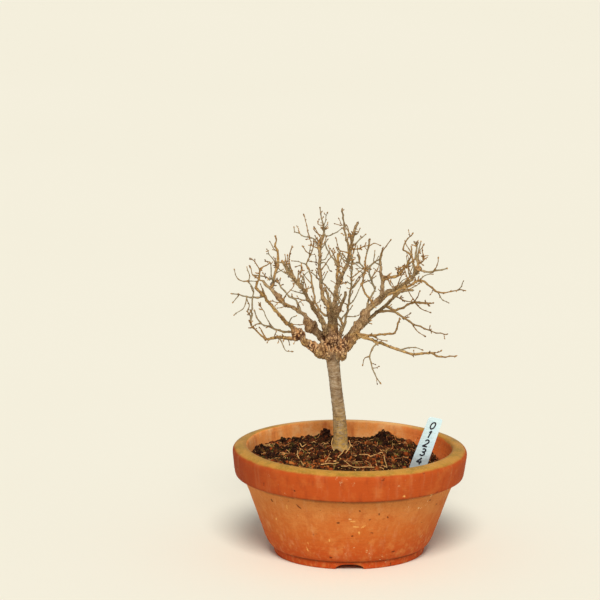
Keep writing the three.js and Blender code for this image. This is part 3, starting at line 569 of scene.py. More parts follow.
@dataclass(frozen=True)
class Earth(Finish):
    """Potting soil with darker and redder crumbs, and painted shade towards the pot wall."""

    name: str = "earth"
    roughness: float = 0.93
    sheen: float = 0.12
    ink: Colour = srgb(24, 11, 6)
    dark: Colour = srgb(58, 28, 13)
    brown: Colour = srgb(114, 53, 21)
    red: Colour = srgb(166, 77, 29)
    tan: Colour = srgb(196, 124, 58)
    moss: Colour = srgb(92, 78, 30)
    shade_centre: tuple[float, float, float] = (4.0, 30.0, 0.0)
    edge_shade_reach: tuple[float, float] = (44.0, 84.0)

    def build(self) -> bpy.types.Material:
        """Lays the finish's nodes.

        Returns:
            The material.
        """
        material, board, shader = self.start()
        spot = board.millimetres()
        tone = board.attribute("tone")
        cloud = board.noise(spot, 0.28, 5.0, 0.7)
        broad = board.step(board.noise(spot, 0.06, 3.0, 0.6), 0.36, 0.6)
        # Painted shade: the soil darkens away from a spot in the middle front, towards the pot wall.
        moved = board.vectors("ADD", spot, self.shade_centre).outputs[0]
        wide = board.reach(board.stretch(moved, (0.72, 1.0, 1.0)))
        edge_shade = board.step(board.add(wide, board.times(cloud, 40.0)), *self.edge_shade_reach)
        value = board.add(board.times(tone, 0.62), board.times(cloud, 0.42))
        value = board.times(value, board.add(0.68, board.times(broad, 0.48)))
        value = board.less(value, board.times(edge_shade, 0.14))
        stops = [(0.0, self.ink), (0.34, self.dark), (0.56, self.brown), (0.74, self.red), (0.9, self.tan)]
        colour = board.ramp(value, stops)
        green = self.mask(board, Effect.PATCHES, spot, 0.16, 0.52, 0.66)
        colour = board.wash(colour, green, 0.45, self.moss)
        fleck = self.mask(board, Effect.SPECKS, spot, 0.9, 0.1, 0.28)
        colour = board.wash(colour, fleck, 0.5, self.tan)
        board.feed(shader.inputs["Base Color"], colour)
        board.feed(shader.inputs["Normal"], board.relief(board.noise(spot, 1.6, 4.0, 0.75), 0.5))
        return material


@dataclass(frozen=True)
class Fibre(Finish):
    """Fine dry roots, leaf flakes and dead twigs, from pale to rusty."""

    name: str = "fibre"
    roughness: float = 0.75
    pale: Colour = srgb(226, 174, 106)
    rusty: Colour = srgb(182, 96, 42)
    brown: Colour = srgb(84, 48, 28)

    def build(self) -> bpy.types.Material:
        """Lays the finish's nodes.

        Returns:
            The material.
        """
        material, board, shader = self.start()
        spot = board.millimetres()
        stops = [(0.0, self.pale), (0.3, self.pale), (0.6, self.rusty), (1.0, self.brown)]
        colour = board.ramp(board.attribute("tone"), stops)
        dirt = self.mask(board, Effect.PATCHES, spot, 0.3, 0.45, 0.7)
        board.feed(shader.inputs["Base Color"], board.wash(colour, dirt, 0.55, self.brown))
        board.feed(shader.inputs["Normal"], board.relief(board.noise(spot, 2.5, 2.0, 0.6), 0.12))
        return material


@dataclass(frozen=True)
class Plastic(Finish):
    """Moulded plastic with fine scuffs and a little soil on it."""

    name: str = "plastic"
    roughness: float = 0.42
    sheen: float = 0.5
    base: Colour = srgb(226, 250, 255)
    shade: Colour = srgb(212, 244, 255)
    soiled: float = 94.0
    soil_edge: float = 9.0
    dirt: Colour = srgb(96, 74, 56)

    def build(self) -> bpy.types.Material:
        """Lays the finish's nodes.

        Returns:
            The material.
        """
        material, board, shader = self.start()
        spot = board.millimetres()
        patch = self.mask(board, Effect.PATCHES, spot, 0.12, 0.4, 0.7)
        colour = board.mix(patch, self.base, self.shade)
        edge = board.add(board.axis(spot, "Z"), board.times(board.noise(spot, 0.5), -self.soil_edge))
        soiled = board.step(edge, self.soiled, self.soiled - self.soil_edge)
        colour = board.wash(colour, soiled, 0.45, self.dirt)
        board.feed(shader.inputs["Base Color"], colour)
        scuff = board.noise(board.stretch(spot, (2.0, 2.0, 0.25)), 1.2, 3.0, 0.6)
        rough = board.add(self.roughness, board.times(scuff, 0.16))
        board.feed(shader.inputs["Roughness"], rough)
        board.feed(shader.inputs["Normal"], board.relief(scuff, 0.02))
        return material


@dataclass(frozen=True)
class Backdrop(Finish):
    """Matt cream paper."""

    name: str = "backdrop"
    roughness: float = 0.95
    paper: Colour = srgb(245, 241, 226)
    shade: Colour = srgb(243, 239, 223)

    def build(self) -> bpy.types.Material:
        """Lays the finish's nodes.

        Returns:
            The material.
        """
        material, board, shader = self.start()
        cloud = board.noise(board.millimetres(), 0.002, 2.0, 0.5)
        board.feed(shader.inputs["Base Color"], board.mix(cloud, self.paper, self.shade))
        return material


# Meshes


def applied(source: bpy.types.Object, name: str) -> bpy.types.Mesh:
    """Turns an object with a bevel or modifiers into a plain mesh, and removes the object.

    Args:
        source: the object, which is removed.
        name: the new mesh's name.

    Returns:
        The finished mesh.
    """
    bpy.context.view_layer.update()
    graph = bpy.context.evaluated_depsgraph_get()
    mesh = bpy.data.meshes.new_from_object(source.evaluated_get(graph))
    mesh.name = name
    bpy.data.objects.remove(source, do_unlink=True)
    return mesh


def linked(name: str, data: bpy.types.ID) -> bpy.types.Object:
    """Adds an object to the scene.

    Args:
        name: its name.
        data: its mesh, curve, lamp or camera data.

    Returns:
        The new object.
    """
    made = bpy.data.objects.new(name, data)
    bpy.context.scene.collection.objects.link(made)
    return made


def mesh_of(bm: bmesh.types.BMesh, name: str) -> bpy.types.Mesh:
    """Writes a bmesh to a new mesh.

    Args:
        bm: the bmesh, which is freed.
        name: the mesh's name.

    Returns:
        The new mesh.
    """
    mesh = bpy.data.meshes.new(name)
    bm.to_mesh(mesh)
    bm.free()
    return mesh


def lathed(section: Sequence[tuple[float, float]], turns: int, closed: bool) -> bmesh.types.BMesh:
    """Turns a section about the upright axis, as a lathe does.

    Args:
        section: its (radius, height) points in millimetres.
        turns: how many steps make the full turn.
        closed: whether the section's ends meet.

    Returns:
        The turned shape, its faces outwards.
    """
    bm = bmesh.new()
    line = [bm.verts.new((r * MM, 0, z * MM)) for r, z in section]
    ends = line[1:] + line[:1] if closed else line[1:]
    edges = [bm.edges.new(pair) for pair in zip(line, ends)]
    bmesh.ops.spin(
        bm, geom=line + edges, cent=(0, 0, 0), axis=(0, 0, 1), dvec=(0, 0, 0),
        angle=math.tau, steps=turns, use_merge=True, use_duplicate=False,
    )
    bmesh.ops.remove_doubles(bm, verts=bm.verts, dist=MERGE)
    bmesh.ops.recalc_face_normals(bm, faces=bm.faces)
    return bm


def strands(name: str, lines: Iterable[Line], roundness: int) -> bpy.types.Mesh:
    """Sweeps a round section along lines of points, each with its own radius.

    Args:
        name: the mesh's name.
        lines: lines of (point, radius) in millimetres.
        roundness: 0 for four sides, and two sides more for each step.

    Returns:
        The closed mesh of all the strands.
    """
    curve = bpy.data.curves.new(name, "CURVE")
    curve.dimensions = "3D"
    curve.bevel_depth = MM
    curve.bevel_resolution = roundness
    curve.use_fill_caps = True
    for line in lines:
        spline = curve.splines.new("POLY")
        spline.points.add(len(line) - 1)
        spots = [part for spot, _ in line for part in (spot.x * MM, spot.y * MM, spot.z * MM, 1.0)]
        spline.points.foreach_set("co", spots)
        spline.points.foreach_set("radius", [radius for _, radius in line])
    mesh = applied(linked(name, curve), name)
    bm = bmesh.new()
    bm.from_mesh(mesh)
    bmesh.ops.remove_doubles(bm, verts=bm.verts, dist=MERGE)
    bmesh.ops.recalc_face_normals(bm, faces=bm.faces)
    bm.to_mesh(mesh)
    bm.free()
    return mesh


def grains(matrices: Sequence[Matrix], detail: int) -> tuple[bmesh.types.BMesh, int]:
    """Makes a round grain at each of the given places.

    Args:
        matrices: each grain's place, turn and scale.
        detail: how finely each grain is divided.

    Returns:
        The grains in the order of their places, and the number of vertices of each.
    """
    batches: list[bpy.types.Mesh] = []
    for first in range(0, len(matrices), BATCH):
        bm = bmesh.new()
        for matrix in matrices[first:first + BATCH]:
            bmesh.ops.create_icosphere(bm, subdivisions=detail, radius=1.0, matrix=matrix)
        batches.append(mesh_of(bm, "grains"))
    joined = bmesh.new()
    for batch in batches:
        joined.from_mesh(batch)
        bpy.data.meshes.remove(batch)
    return joined, len(joined.verts) // len(matrices)


def finished(
    name: str, mesh: bpy.types.Mesh, material: bpy.types.Material, node: str,
) -> bpy.types.Object:
    """Puts a finished mesh in the scene as a piece of the bonsai.

    Args:
        name: the piece's name.
        mesh: its mesh, in metres, in place.
        material: its finish.
        node: the solid that it stands for.

    Returns:
        The piece.
    """
    mesh.materials.clear()
    mesh.materials.append(material)
    mesh.shade_smooth()
    piece = linked(name, mesh)
    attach(piece, "root")
    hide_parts(node)
    mesh.calc_loop_triangles()
    LOG.info("%s: %d triangles", name, len(mesh.loop_triangles))
    return piece


def write_numbers(mesh: bpy.types.Mesh, name: str, values: Sequence[float]) -> None:
    """Paints a number on each vertex of a mesh."""
    layer = mesh.attributes.new(name, "FLOAT", "POINT")
    layer.data.foreach_set("value", values)


# Growth: the same routes and seeds as the solid model's

VIEW_SLOPE = 0.253
TIP_RADIUS = 0.5


@dataclass
class Stem:
    """One stem: its points, its radius and the distance run at each of them."""

    name: str
    points: list[Vector]
    radii: list[float]
    runs: list[float] = field(default_factory=list)

    def __post_init__(self) -> None:
        """Works out the distance run at each point."""
        self.runs = run_lengths(self.points)

    def at(self, distance: float) -> tuple[Vector, Vector, float]:
        """Finds a place along the stem.

        Args:
            distance: how far along the stem.

        Returns:
            The spot, the heading and the radius there.
        """
        i = 1
        while i + 1 < len(self.runs) and self.runs[i] < distance:
            i += 1
        share = (distance - self.runs[i - 1]) / (self.runs[i] - self.runs[i - 1])
        spot = self.points[i - 1].lerp(self.points[i], share)
        heading = (self.points[i] - self.points[i - 1]).normalized()
        return spot, heading, self.radii[i - 1] + (self.radii[i] - self.radii[i - 1]) * share

    def nearest(self, x: float, h: float) -> tuple[Vector, float]:
        """Finds the spot that is seen nearest to a place.

        Args:
            x: the place as seen, sideways.
            h: the place as seen, upwards.

        Returns:
            The spot, and how far off it is seen.
        """
        best, least = self.points[0], math.inf
        for a, b in zip(self.points, self.points[1:]):
            low = a.z + VIEW_SLOPE * a.y
            dx, dh = b.x - a.x, b.z + VIEW_SLOPE * b.y - low
            share = min(1.0, max(0.0, ((x - a.x) * dx + (h - low) * dh) / (dx * dx + dh * dh)))
            off = math.hypot(x - a.x - share * dx, h - low - share * dh)
            if off < least:
                best, least = a.lerp(b, share), off
        return best, least


def run_lengths(points: Sequence[Vector]) -> list[float]:
    """Measures along a line.

    Args:
        points: the line's points.

    Returns:
        The distance run at each of them.
    """
    runs = [0.0]
    for a, b in zip(points, points[1:]):
        runs.append(runs[-1] + (b - a).length)
    return runs


def spread(values: Sequence[float], share: float) -> float:
    """Reads between evenly spaced values.

    Args:
        values: the values, evenly spaced.
        share: how far along them, 0 to 1.

    Returns:
        The value there.
    """
    place = share * (len(values) - 1)
    i = min(int(place), len(values) - 2)
    return values[i] + (values[i + 1] - values[i]) * (place - i)


def aside(along: Vector, turn: float, forward: float) -> Vector:
    """Finds a heading that leaves a stem sideways.

    Args:
        along: the stem's heading.
        turn: how far round the stem, in radians.
        forward: how far it leans along the stem.

    Returns:
        The heading.
    """
    flat = Vector((0, 0, 1)) if abs(along.z) < 0.8 else Vector((1, 0, 0))
    side = flat.cross(along).normalized()
    side.rotate(Quaternion(along, turn))
    return (side + along * forward).normalized()


@dataclass(frozen=True)
class Limb:
    """A limb: its parent, the depths it passes, its radii, and its route as seen, x then h."""

    name: str
    parent: str
    depths: tuple[float, ...]
    radii: tuple[float, ...]
    route: tuple[float, ...]


@dataclass(frozen=True)
class Twig:
    """A twig: its parent, how much nearer or further it ends, its radius, and its route."""

    parent: str
    away: float
    radius: float
    route: tuple[float, ...]


TRUNK = (
    (-7.2, 13, 62.5, 4.2),
    (-7.4, 13, 74, 6.0),
    (-7.6, 13, 85, 7.3),
    (-7.7, 13, 91, 7.4),
    (-7.8, 12.8, 96.5, 6.6),
    (-7.9, 12.3, 104, 6.15),
    (-8.6, 11.4, 118, 5.8),
    (-9.8, 10.2, 131, 5.5),
    (-11.2, 8.8, 142, 5.3),
    (-13.0, 7.2, 159, 5.3),
    (-14.7, 6, 174.5, 5.6),
    (-14.2, 6, 180, 7.2),
    (-13.8, 6, 188, 8.2),
    (-14, 6, 196, 7.0),
    (-15, 6, 203, 4.9),
    (-15, 6, 213, 4.4),
    (-16.5, 6, 220, 4.0),
    (-18, 6, 227, 3.2),
)

JOINTS = (
    ("left_low", -46, 202, 5.0),
    ("left_low", -34, 191, 4.9),
    ("left_high", -35, 209, 6.0),
    ("left_high", -64, 237, 3.4),
    ("left_upright", -65, 266, 2.3),
    ("front_gnarled", -10, 224, 3.4),
    ("right_main", 0, 195, 5.6),
    ("right_main", 8, 208, 4.7),
    ("right_main", 14, 219, 4.6),
    ("right_main", 26, 233, 3.8),
    ("right_fork", 34, 253.5, 2.6),
    ("right_front", 61, 260, 2.7),
)

ROUTES: tuple[Limb | Twig, ...] = (
    # Left side
    Limb("left_low", "trunk", (-8, -34), (6.4, 5.0, 4.2, 3.1, 2.6, 2.3, 2, 1.5), (
      -20, 184, -27, 184, -34, 191, -41, 195, -46, 202, -53, 209, -58, 213, -64, 220, -71, 228,
      -76, 235, -80, 239, -84, 243,
    )),
    Limb("left_low_tip", "left_low", (-38,), (1.4, 0.7), (
      -84, 243, -83, 247, -81, 253, -80, 259, -78, 262, -74, 264, -71.5, 266,
    )),
    Twig("left_low_tip", -5, 0.8, (-80, 259, -83, 264, -86, 268, -89, 269)),
    Twig("left_low", 5, 0.8, (-78, 238, -78, 242)),
    Twig("left_low", -7, 0.9, (-55, 211, -51, 217, -48, 218)),
    Twig("left_low", 4, 0.8, (-74, 233, -77, 240, -80, 247)),
    Limb("left_reach", "left_low", (-42,), (1.4, 0.6), (
      -77, 235, -83, 234.5, -90, 234.5, -95, 235.5, -99, 237, -105.3, 237.5,
    )),
    Twig("left_reach", 6, 0.7, (-99, 237, -101.5, 233, -104.5, 230)),
    Twig("left_reach", -6, 0.8, (-92, 234.5, -95, 225, -98, 222, -103.5, 218)),
    Limb("left_back", "left_low", (10, 24), (1.6, 0.8), (
      -48, 202, -60, 204, -68, 206.5, -74, 209, -79, 211, -83, 216, -86, 224,
    )),
    Twig("left_back", 5, 0.8, (-80, 211, -84, 211, -89, 208)),
    Twig("left_back", 14, 0.8, (-68, 206.5, -73, 213, -77, 222, -82, 231)),
    Limb("left_flat", "left_low", (-6, -26), (2.8, 2.4, 1.4), (
      -44, 198, -50, 197, -57, 198, -64, 198.5, -70, 197, -75.5, 196,
    )),
    Twig("left_flat", 3, 1.2, (-75.5, 196, -77, 200, -79, 205, -81, 207)),
    Limb("left_flat_tip", "left_flat", (-34,), (1.3, 0.8), (
      -75, 196, -81, 201, -85, 205, -88, 208, -90, 213,
    )),
    Twig("left_flat", -8, 0.9, (-63, 198, -60, 191, -57, 185.5, -52, 185)),
    Twig("left_flat", 6, 0.8, (-55, 198, -54, 191.5)),
    Twig("left_flat", -5, 0.8, (-68, 198, -66, 203)),
    Limb("far_left_a", "left_flat_tip", (-28,), (1.0, 0.6), (
      -88, 209, -89, 217, -91.5, 221, -90, 227, -92, 232,
    )),
    Limb("far_left_b", "left_flat_tip", (-44,), (1.1, 0.9), (
      -89, 211, -88, 217, -87.5, 226, -87, 234, -86, 239, -88, 245, -91, 249,
    )),
    Twig("far_left_b", -8, 0.9, (-91, 248.5, -96, 249, -100, 250.5, -103, 259)),
    Twig("far_left_b", 6, 0.9, (-90, 248, -90, 256, -92, 262)),
    Twig("far_left_b", 8, 0.7, (-91, 248.5, -84, 249)),
    Limb("left_high", "trunk", (10, 28, 46), (5, 4.6, 2.7, 2.5, 2.5, 2.7, 2.2, 1.7), (
      -22, 197, -29, 203, -35, 209, -40, 219, -47, 224, -55, 228.5, -60, 231, -64, 237, -70, 243,
      -74, 247, -78, 252,
    )),
    Twig("left_high", 8, 0.9, (-60, 231, -66, 232, -71, 233)),
    Twig("left_high", -7, 0.8, (-52, 227, -58, 227.5, -65, 226)),
    Twig("left_high", 9, 0.9, (-60, 232, -57, 239, -51, 246, -49.5, 250)),
    Twig("left_high", 12, 0.9, (-78, 252, -83, 254, -88, 259, -90, 266)),
    Limb("left_long", "left_high", (26, 58), (1.3, 0.7), (
      -43, 222, -48, 233, -53, 236, -57, 240, -62, 246, -66, 252, -72, 254, -78, 256.5, -87, 258,
    )),
    Twig("left_high", -6, 0.9, (-38, 211, -44, 210.5, -50, 210.5)),
    Limb("left_upright", "left_high", (52,), (1.8, 1.6, 1.9, 1.3, 0.9), (
      -71, 245, -69, 249, -68, 256, -67, 261, -65, 266, -64.5, 272, -65, 280, -67, 285, -66, 290, -67, 294,
    )),
    Twig("left_upright", 6, 0.9, (-67, 259, -60, 263)),
    Twig("left_upright", -7, 1.0, (-70, 249, -71, 262, -71.5, 269, -76, 270)),
    Twig("left_upright", 8, 0.7, (-65, 279, -69, 283, -72, 289)),
    Limb("left_front", "trunk", (-14, -40, -60), (4, 3.2, 2.6, 2.3, 1.9, 1.5), (
      -20, 202, -21, 206, -24, 213, -27.5, 218, -31, 223, -35, 230, -38.5, 235, -41, 241, -44, 245,
      -49, 251, -54, 258, -57, 262, -60, 266,
    )),
    Twig("left_front", -6, 1.1, (-49, 251, -52, 258, -54, 265, -54, 272, -51.5, 280)),
    Twig("left_front", -4, 0.8, (-56, 261, -58, 272.5)),
    Twig("left_front", 8, 1.0, (-46, 248, -46, 255, -43, 260, -44, 263, -48, 262.5)),
    Twig("left_front", 9, 0.9, (-44, 246, -41, 254, -37, 258.5, -34, 259)),
    Twig("left_front", -9, 0.9, (-38, 238, -43, 238, -47, 239.5, -53, 241)),
    Twig("left_front", -12, 0.9, (-60, 265, -66, 266, -71, 271, -74, 277)),
    Limb("back_left_thin", "trunk", (30, 60), (1.5, 1.2, 1.0, 0.8), (
      -22, 219, -30, 229, -31.5, 237, -33, 245, -34, 252, -35, 258, -37, 264, -39, 267, -38, 270,
      -35, 277, -33, 281, -32, 289,
    )),
    Twig("back_left_thin", 10, 0.8, (-35, 277, -39, 280, -42, 284.5)),
    Twig("back_left_thin", 8, 0.8, (-39, 267, -43, 269, -47, 270.5, -52, 271)),
    Twig("back_left_thin", -8, 0.7, (-36, 270, -30, 269)),
    # Middle
    Limb("mid_left", "trunk", (16, 44), (3.0, 2.6, 2.3, 2.3, 2.2, 1.5, 1.0, 0.7), (
      -18, 226, -22, 232, -24.5, 238, -25.5, 245, -26, 252, -27, 260, -27, 275, -28, 282, -27, 288,
      -23.5, 296, -24, 303, -25, 310, -26.5, 320,
    )),
    Limb("top_left", "mid_left", (52,), (1.0, 0.6), (
      -28, 284, -33, 291, -40, 293, -45, 296, -49, 298, -50, 302,
    )),
    Twig("top_left", 8, 0.8, (-36, 292, -38, 300, -39.5, 308, -41, 313)),
    Twig("mid_left", -7, 0.8, (-23, 297, -21.5, 308, -20, 314)),
    Twig("mid_left", -12, 0.9, (-24, 294, -18, 293, -14, 295, -6, 300)),
    Twig("mid_left", -8, 0.9, (-27, 267, -22, 268, -19, 263, -17, 260)),
    Twig("mid_left", -7, 0.8, (-26, 249, -22, 255, -20, 259)),
    Twig("mid_left", 9, 0.8, (-27, 270, -22, 271.5, -19, 277)),
    Twig("mid_left", 14, 0.9, (-28, 281, -33, 284, -36, 291)),
    Limb("mid_front", "trunk", (-4, -22), (3.2, 2.7, 2.4, 2.3, 2.2, 1.8, 1.5), (
      -15, 224, -13, 232, -12, 240, -11, 247, -9.5, 252, -6, 258, -3, 264, -1, 269, 0, 275, 1, 280,
      2, 285, 4, 296, 7, 303,
    )),
    Limb("mid_front_top", "mid_front", (-30,), (1.3, 1.0), (
      -1, 277, -2, 285, -4, 292, -5, 298, -5.5, 305, -7, 315,
    )),
    Twig("mid_front", 8, 0.9, (1, 284, -1, 295, -3, 301, -9, 302, -13.5, 303)),
    Twig("mid_front", -10, 0.9, (2, 279, 8, 279.5, 13, 282, 18, 282.5, 22, 284.5, 27, 282.5)),
    Twig("mid_front", -9, 0.9, (0, 276, -5, 277, -9, 278, -12.5, 289)),
    Twig("mid_front", -7, 0.8, (-1, 269, -6, 274, -9, 276.5)),
    Twig("mid_front", 8, 0.9, (-1, 266, 5, 267, 9, 266.5, 14, 262)),
    Limb("mid_back", "trunk", (10, 22), (2.4, 2.0, 1.6), (
      -16, 220, -13, 231, -12, 242, -11, 250, -10.5, 262, -10, 276,
    )),
    Limb("mid_back_long", "mid_back", (36,), (1.2, 0.8), (-11, 264, -14, 271, -18, 277, -22, 287)),
    Twig("mid_back", 8, 0.8, (-10.5, 262, -8.5, 268, -6.5, 276)),
    Limb("front_thin", "trunk", (-14, -44, -60), (1.9, 1.5, 1.3, 1.0), (
      -9, 200, -5, 209, -3.5, 215, -2, 222, -1, 229, 0, 236, 1, 245, 1.3, 255, 1.5, 264, 0.5, 273,
    )),
    Twig("front_thin", -6, 0.9, (1, 242, 4, 244, 7, 249, 10, 253)),
    Twig("front_thin", 6, 0.9, (1.5, 252, 5, 255, 13, 261)),
    Twig("front_thin", 8, 0.9, (-1, 228, 3, 231, 7.5, 239, 10, 247)),
    Twig("front_thin", -9, 0.8, (1, 246, -3, 247.5, -7, 246.5)),
    Twig("front_thin", -6, 0.8, (-3, 217, 4, 217.5, 8, 218.5)),
    Limb("front_gnarled", "trunk", (-18, -34), (2.8, 2.2, 1.7), (
      -13, 214, -10, 224, -8, 227, -6, 231, -4.5, 235, -4, 239,
    )),
    Twig("front_gnarled", -4, 1.2, (-8, 228, -10, 233, -8, 237)),
    Limb("front_stub", "trunk", (-22, -30), (2.2, 1.5), (-16, 216, -17, 228, -19, 234, -22, 243)),
    Limb("back_mid", "trunk", (24, 50, 78), (3.4, 2.7, 2.1, 1.7, 1.2), (
      -14, 200, -14, 212, -13.5, 224, -12.5, 234, -11.5, 243, -9.5, 251, -5.5, 259, -2, 267, 0, 276,
      1.5, 285, 3, 296,
    )),
    Limb("back_low", "trunk", (40, 74), (2.6, 2.0, 1.4, 1.0), (
      -10, 196, -8, 204, -6, 211, -9, 218, -12, 225, -9, 233,
    )),
    Limb("back_left", "left_front", (30, 60, 80), (2.0, 1.8, 1.5, 1.1), (
      -27.5, 218, -35, 230, -42, 243, -50, 253, -57, 263, -61, 272,
    )),
    Limb("back_high", "mid_left", (52, 74), (1.7, 1.3, 0.9), (
      -25, 245, -25.5, 256, -27, 266, -26.5, 277, -25, 287, -22, 296,
    )),
    # Right side
    Limb("right_main", "trunk", (4, 14), (6.4, 5.4, 4.7, 4.4, 3.6, 3.1, 2.6, 2.2, 1.7), (
      -6, 188, 0, 195, 4, 202, 8, 208, 14, 219, 20, 227, 26, 233, 29, 238, 30, 244, 30, 250,
      29, 257, 28, 265, 27.5, 272,
    )),
    Twig("right_main", -6, 1.1, (27.5, 271, 31, 280, 34, 285, 37, 288.5)),
    Twig("right_main", 7, 0.9, (28, 266, 22, 269, 22.5, 274, 23, 279)),
    Limb("right_back", "right_main", (34, 52), (1.4, 1.2, 1.0, 0.8), (
      21, 229, 18, 235, 14, 240, 12, 248, 13, 256, 15, 262, 15, 272, 17, 280, 19, 291,
    )),
    Twig("right_back", 12, 0.9, (14, 262, 19, 265, 23, 269, 27, 275)),
    Twig("right_back", 10, 0.9, (12, 249, 18, 252, 24, 256)),
    Limb("right_back_low", "right_main", (36, 72), (1.5, 1.2, 0.9), (
      15, 222, 17, 232, 23, 243, 21, 250, 18, 260, 11, 268, 8, 277,
    )),
    Limb("right_fork", "right_main", (2, -16), (2.2, 1.8, 1.4, 1.0), (
      30, 252, 34, 253.5, 39, 254.5, 44, 256, 48, 261, 51, 264, 53.5, 269, 55, 274,
    )),
    Twig("right_fork", -6, 1.2, (55, 274, 50, 277.5, 47.5, 279, 51, 287, 56, 293)),
    Twig("right_fork", 7, 0.9, (44, 256, 44, 262)),
    Twig("right_fork", 9, 0.8, (52, 266, 58, 270, 63, 277)),
    Limb("right_front", "right_main", (-14, -38, -58), (3, 2.4, 2.0, 1.9), (
      27, 234, 34, 240, 41, 243, 47, 246, 52, 248, 56, 252, 61, 260,
    )),
    Limb("right_cluster", "right_front", (-54,), (2, 1.3, 0.9), (
      61, 259, 60, 266, 58, 270, 59, 280, 57, 284,
    )),
    Twig("right_cluster", 7, 1.2, (60, 268, 61, 277, 63, 285)),
    Twig("right_cluster", -7, 1.0, (60, 264, 65, 267, 64, 276)),
    Limb("right_tip", "right_front", (-62,), (1.4, 0.9), (61, 259, 67, 257, 74, 257.5, 80, 258.5, 86, 260)),
    Twig("right_tip", -7, 0.8, (74, 257.5, 77, 262, 78, 269)),
    Twig("right_front", 7, 1.0, (55, 251, 57, 261, 55, 267)),
    Twig("right_front", -9, 0.9, (42, 244, 45, 252, 49, 258)),
    Limb("right_long", "right_main", (6, 26), (2.2, 1.6, 1.4, 1.1, 0.6), (
      26, 233, 37, 239, 46, 243, 55, 246.5, 60, 250, 67, 250.5, 72, 246.5, 76, 243.5, 80, 240.5,
      90, 241, 100, 243, 105, 242.5,
    )),
    Twig("right_long", -7, 0.8, (98, 243, 101, 246, 103, 251)),
    Twig("right_long", 9, 0.8, (80, 240.5, 84, 234, 90, 231)),
    Twig("right_long", 10, 0.9, (63, 250.5, 68, 256, 75, 259)),
    Limb("right_low_back", "right_main", (22, 46), (2.8, 2.4, 1.9, 1.4), (
      6, 205, 15, 212, 21, 218.5, 31, 227, 36.5, 232, 43, 239, 47, 242, 58, 243.5,
    )),
    Limb("right_back_far", "right_low_back", (58, 76), (1.6, 1.4, 0.9), (
      40, 235, 44, 243, 51, 248, 57, 254, 60, 263, 58, 274, 57, 285,
    )),
    Limb("right_flat", "right_low_back", (22, 6), (1.7, 1.4, 1.0, 0.6), (
      27, 221.5, 34, 223.5, 42, 222, 47, 219, 57, 212, 67, 207.5, 78, 203, 88, 201.5,
    )),
    Twig("right_flat", -8, 0.8, (57, 212, 61, 205, 68, 200)),
    Limb("right_low_mid", "right_low_back", (40, 60), (1.7, 1.3, 0.8), (
      33, 227, 42, 224.5, 48, 226.5, 54, 230, 60, 232, 70, 231, 77, 232,
    )),
    Twig("right_low_mid", -9, 0.9, (58, 231.5, 60, 234, 63, 238, 64, 242)),
    Twig("right_low_mid", 8, 0.9, (60, 232, 66, 226, 74, 223)),
    Limb("right_low", "trunk", (-8, -36), (3, 2.3, 2.1, 1.9, 1.7, 1.3, 0.7), (
      -5, 188, 1, 190, 4, 195, 11, 199, 19, 196.5, 27, 193.5, 33, 191, 45, 186.5, 56, 182.5, 62, 182.5,
      73, 183.5, 77, 181.5, 81, 180, 88, 180, 95, 180.5,
    )),
    Twig("right_low", 7, 0.8, (73, 183.5, 78, 184, 82, 185.5)),
    Twig("right_low", -8, 1.0, (45, 186.5, 54, 188.5, 60, 188.5, 65, 186.5)),
    Limb("right_mid", "right_main", (-8, -22), (1.9, 1.4, 1.0), (
      4, 201, 12, 201, 19, 200, 33, 201.5, 39, 201.5, 42, 206, 45, 215,
    )),
    Twig("right_mid", -8, 0.9, (20, 200, 24, 197.5, 33, 195)),
    Limb("right_hanging", "right_low", (-24,), (1.2, 0.7), (
      26, 194, 21, 189, 18.5, 180.5, 19, 175, 21, 168, 24, 161, 27.5, 156,
    )),
    Twig("right_hanging", 5, 0.8, (18.5, 180.5, 14, 179, 12, 173)),
)

EXTRA_TWIGS = (
    Twig("right_main", 9, 0.9, (27.5, 270.5, 22, 268, 16.7, 263.7, 9.5, 255.3, 1.4, 244.2)),
    Twig("right_main", -5, 0.8, (27, 269, 28, 275, 30, 281)),
    Twig("right_low_back", -6, 0.9, (43, 237, 50, 233.5, 56.7, 232.3, 65, 231.8, 73.7, 231)),
    Twig("right_front", 6, 0.8, (50, 247, 53, 239, 57, 233)),
    Twig("right_front", -6, 0.9, (38, 242, 44, 247, 48, 251, 52, 252)),
    Twig("right_low_back", 8, 1.0, (30, 226, 37, 234, 44, 240, 50, 243, 57, 245, 63, 249)),
    Twig("mid_left", -4, 0.7, (-27, 288, -30, 290, -31, 293)),
    Twig("mid_left", -8, 0.7, (-26, 294, -30, 296, -32, 299)),
    Twig("mid_left", 6, 0.7, (-26, 283, -22, 287, -21, 292)),
    Twig("mid_left", 4, 0.7, (-24, 303, -27.5, 304, -28.5, 307)),
    Twig("mid_front", -5, 0.7, (3, 292, 7, 294, 9, 298)),
    Twig("mid_front", 5, 0.7, (-3, 262, -8, 264, -10, 268)),
    Twig("left_high", -4, 0.7, (-47, 224, -46, 230, -43, 233)),
    Twig("left_front", -8, 0.7, (-41, 241, -36, 243, -34, 246)),
)

CLUSTERS = (
    (-28.5, 286, 8), (-24.8, 299, 7), (-65.9, 267, 9), (-42.8, 259, 8), (-69.8, 246, 6), (-60.8, 234, 6),
    (59.0, 281, 8), (64.2, 269, 10), (46.1, 257, 9), (60.3, 250, 9), (70.6, 232, 6), (2.3, 281, 9),
    (3.7, 293, 8), (15.2, 262, 7), (33.2, 254, 6), (-45, 205, 7), (22, 228, 5), (-80, 226, 7), (-86, 205, 5),
    (-12, 262, 6), (-5, 249, 6), (51, 262, 7), (-77, 236, 6), (38, 262, 6),
)

FANS = (
    ("back_mid", 9, 32, 1.2),
    ("back_low", 4, 28, 1.0),
    ("back_left", 5, 24, 1.0),
    ("back_high", 5, 22, 0.9),
    ("back_left_thin", 2, 18, 0.8),
    ("right_back_far", 5, 24, 1.0),
    ("right_back_low", 4, 22, 1.0),
    ("right_back", 2, 18, 0.9),
    ("front_thin", 3, 20, 0.9),
    ("left_front", 4, 22, 1.0),
    ("right_front", 4, 22, 1.0),
)


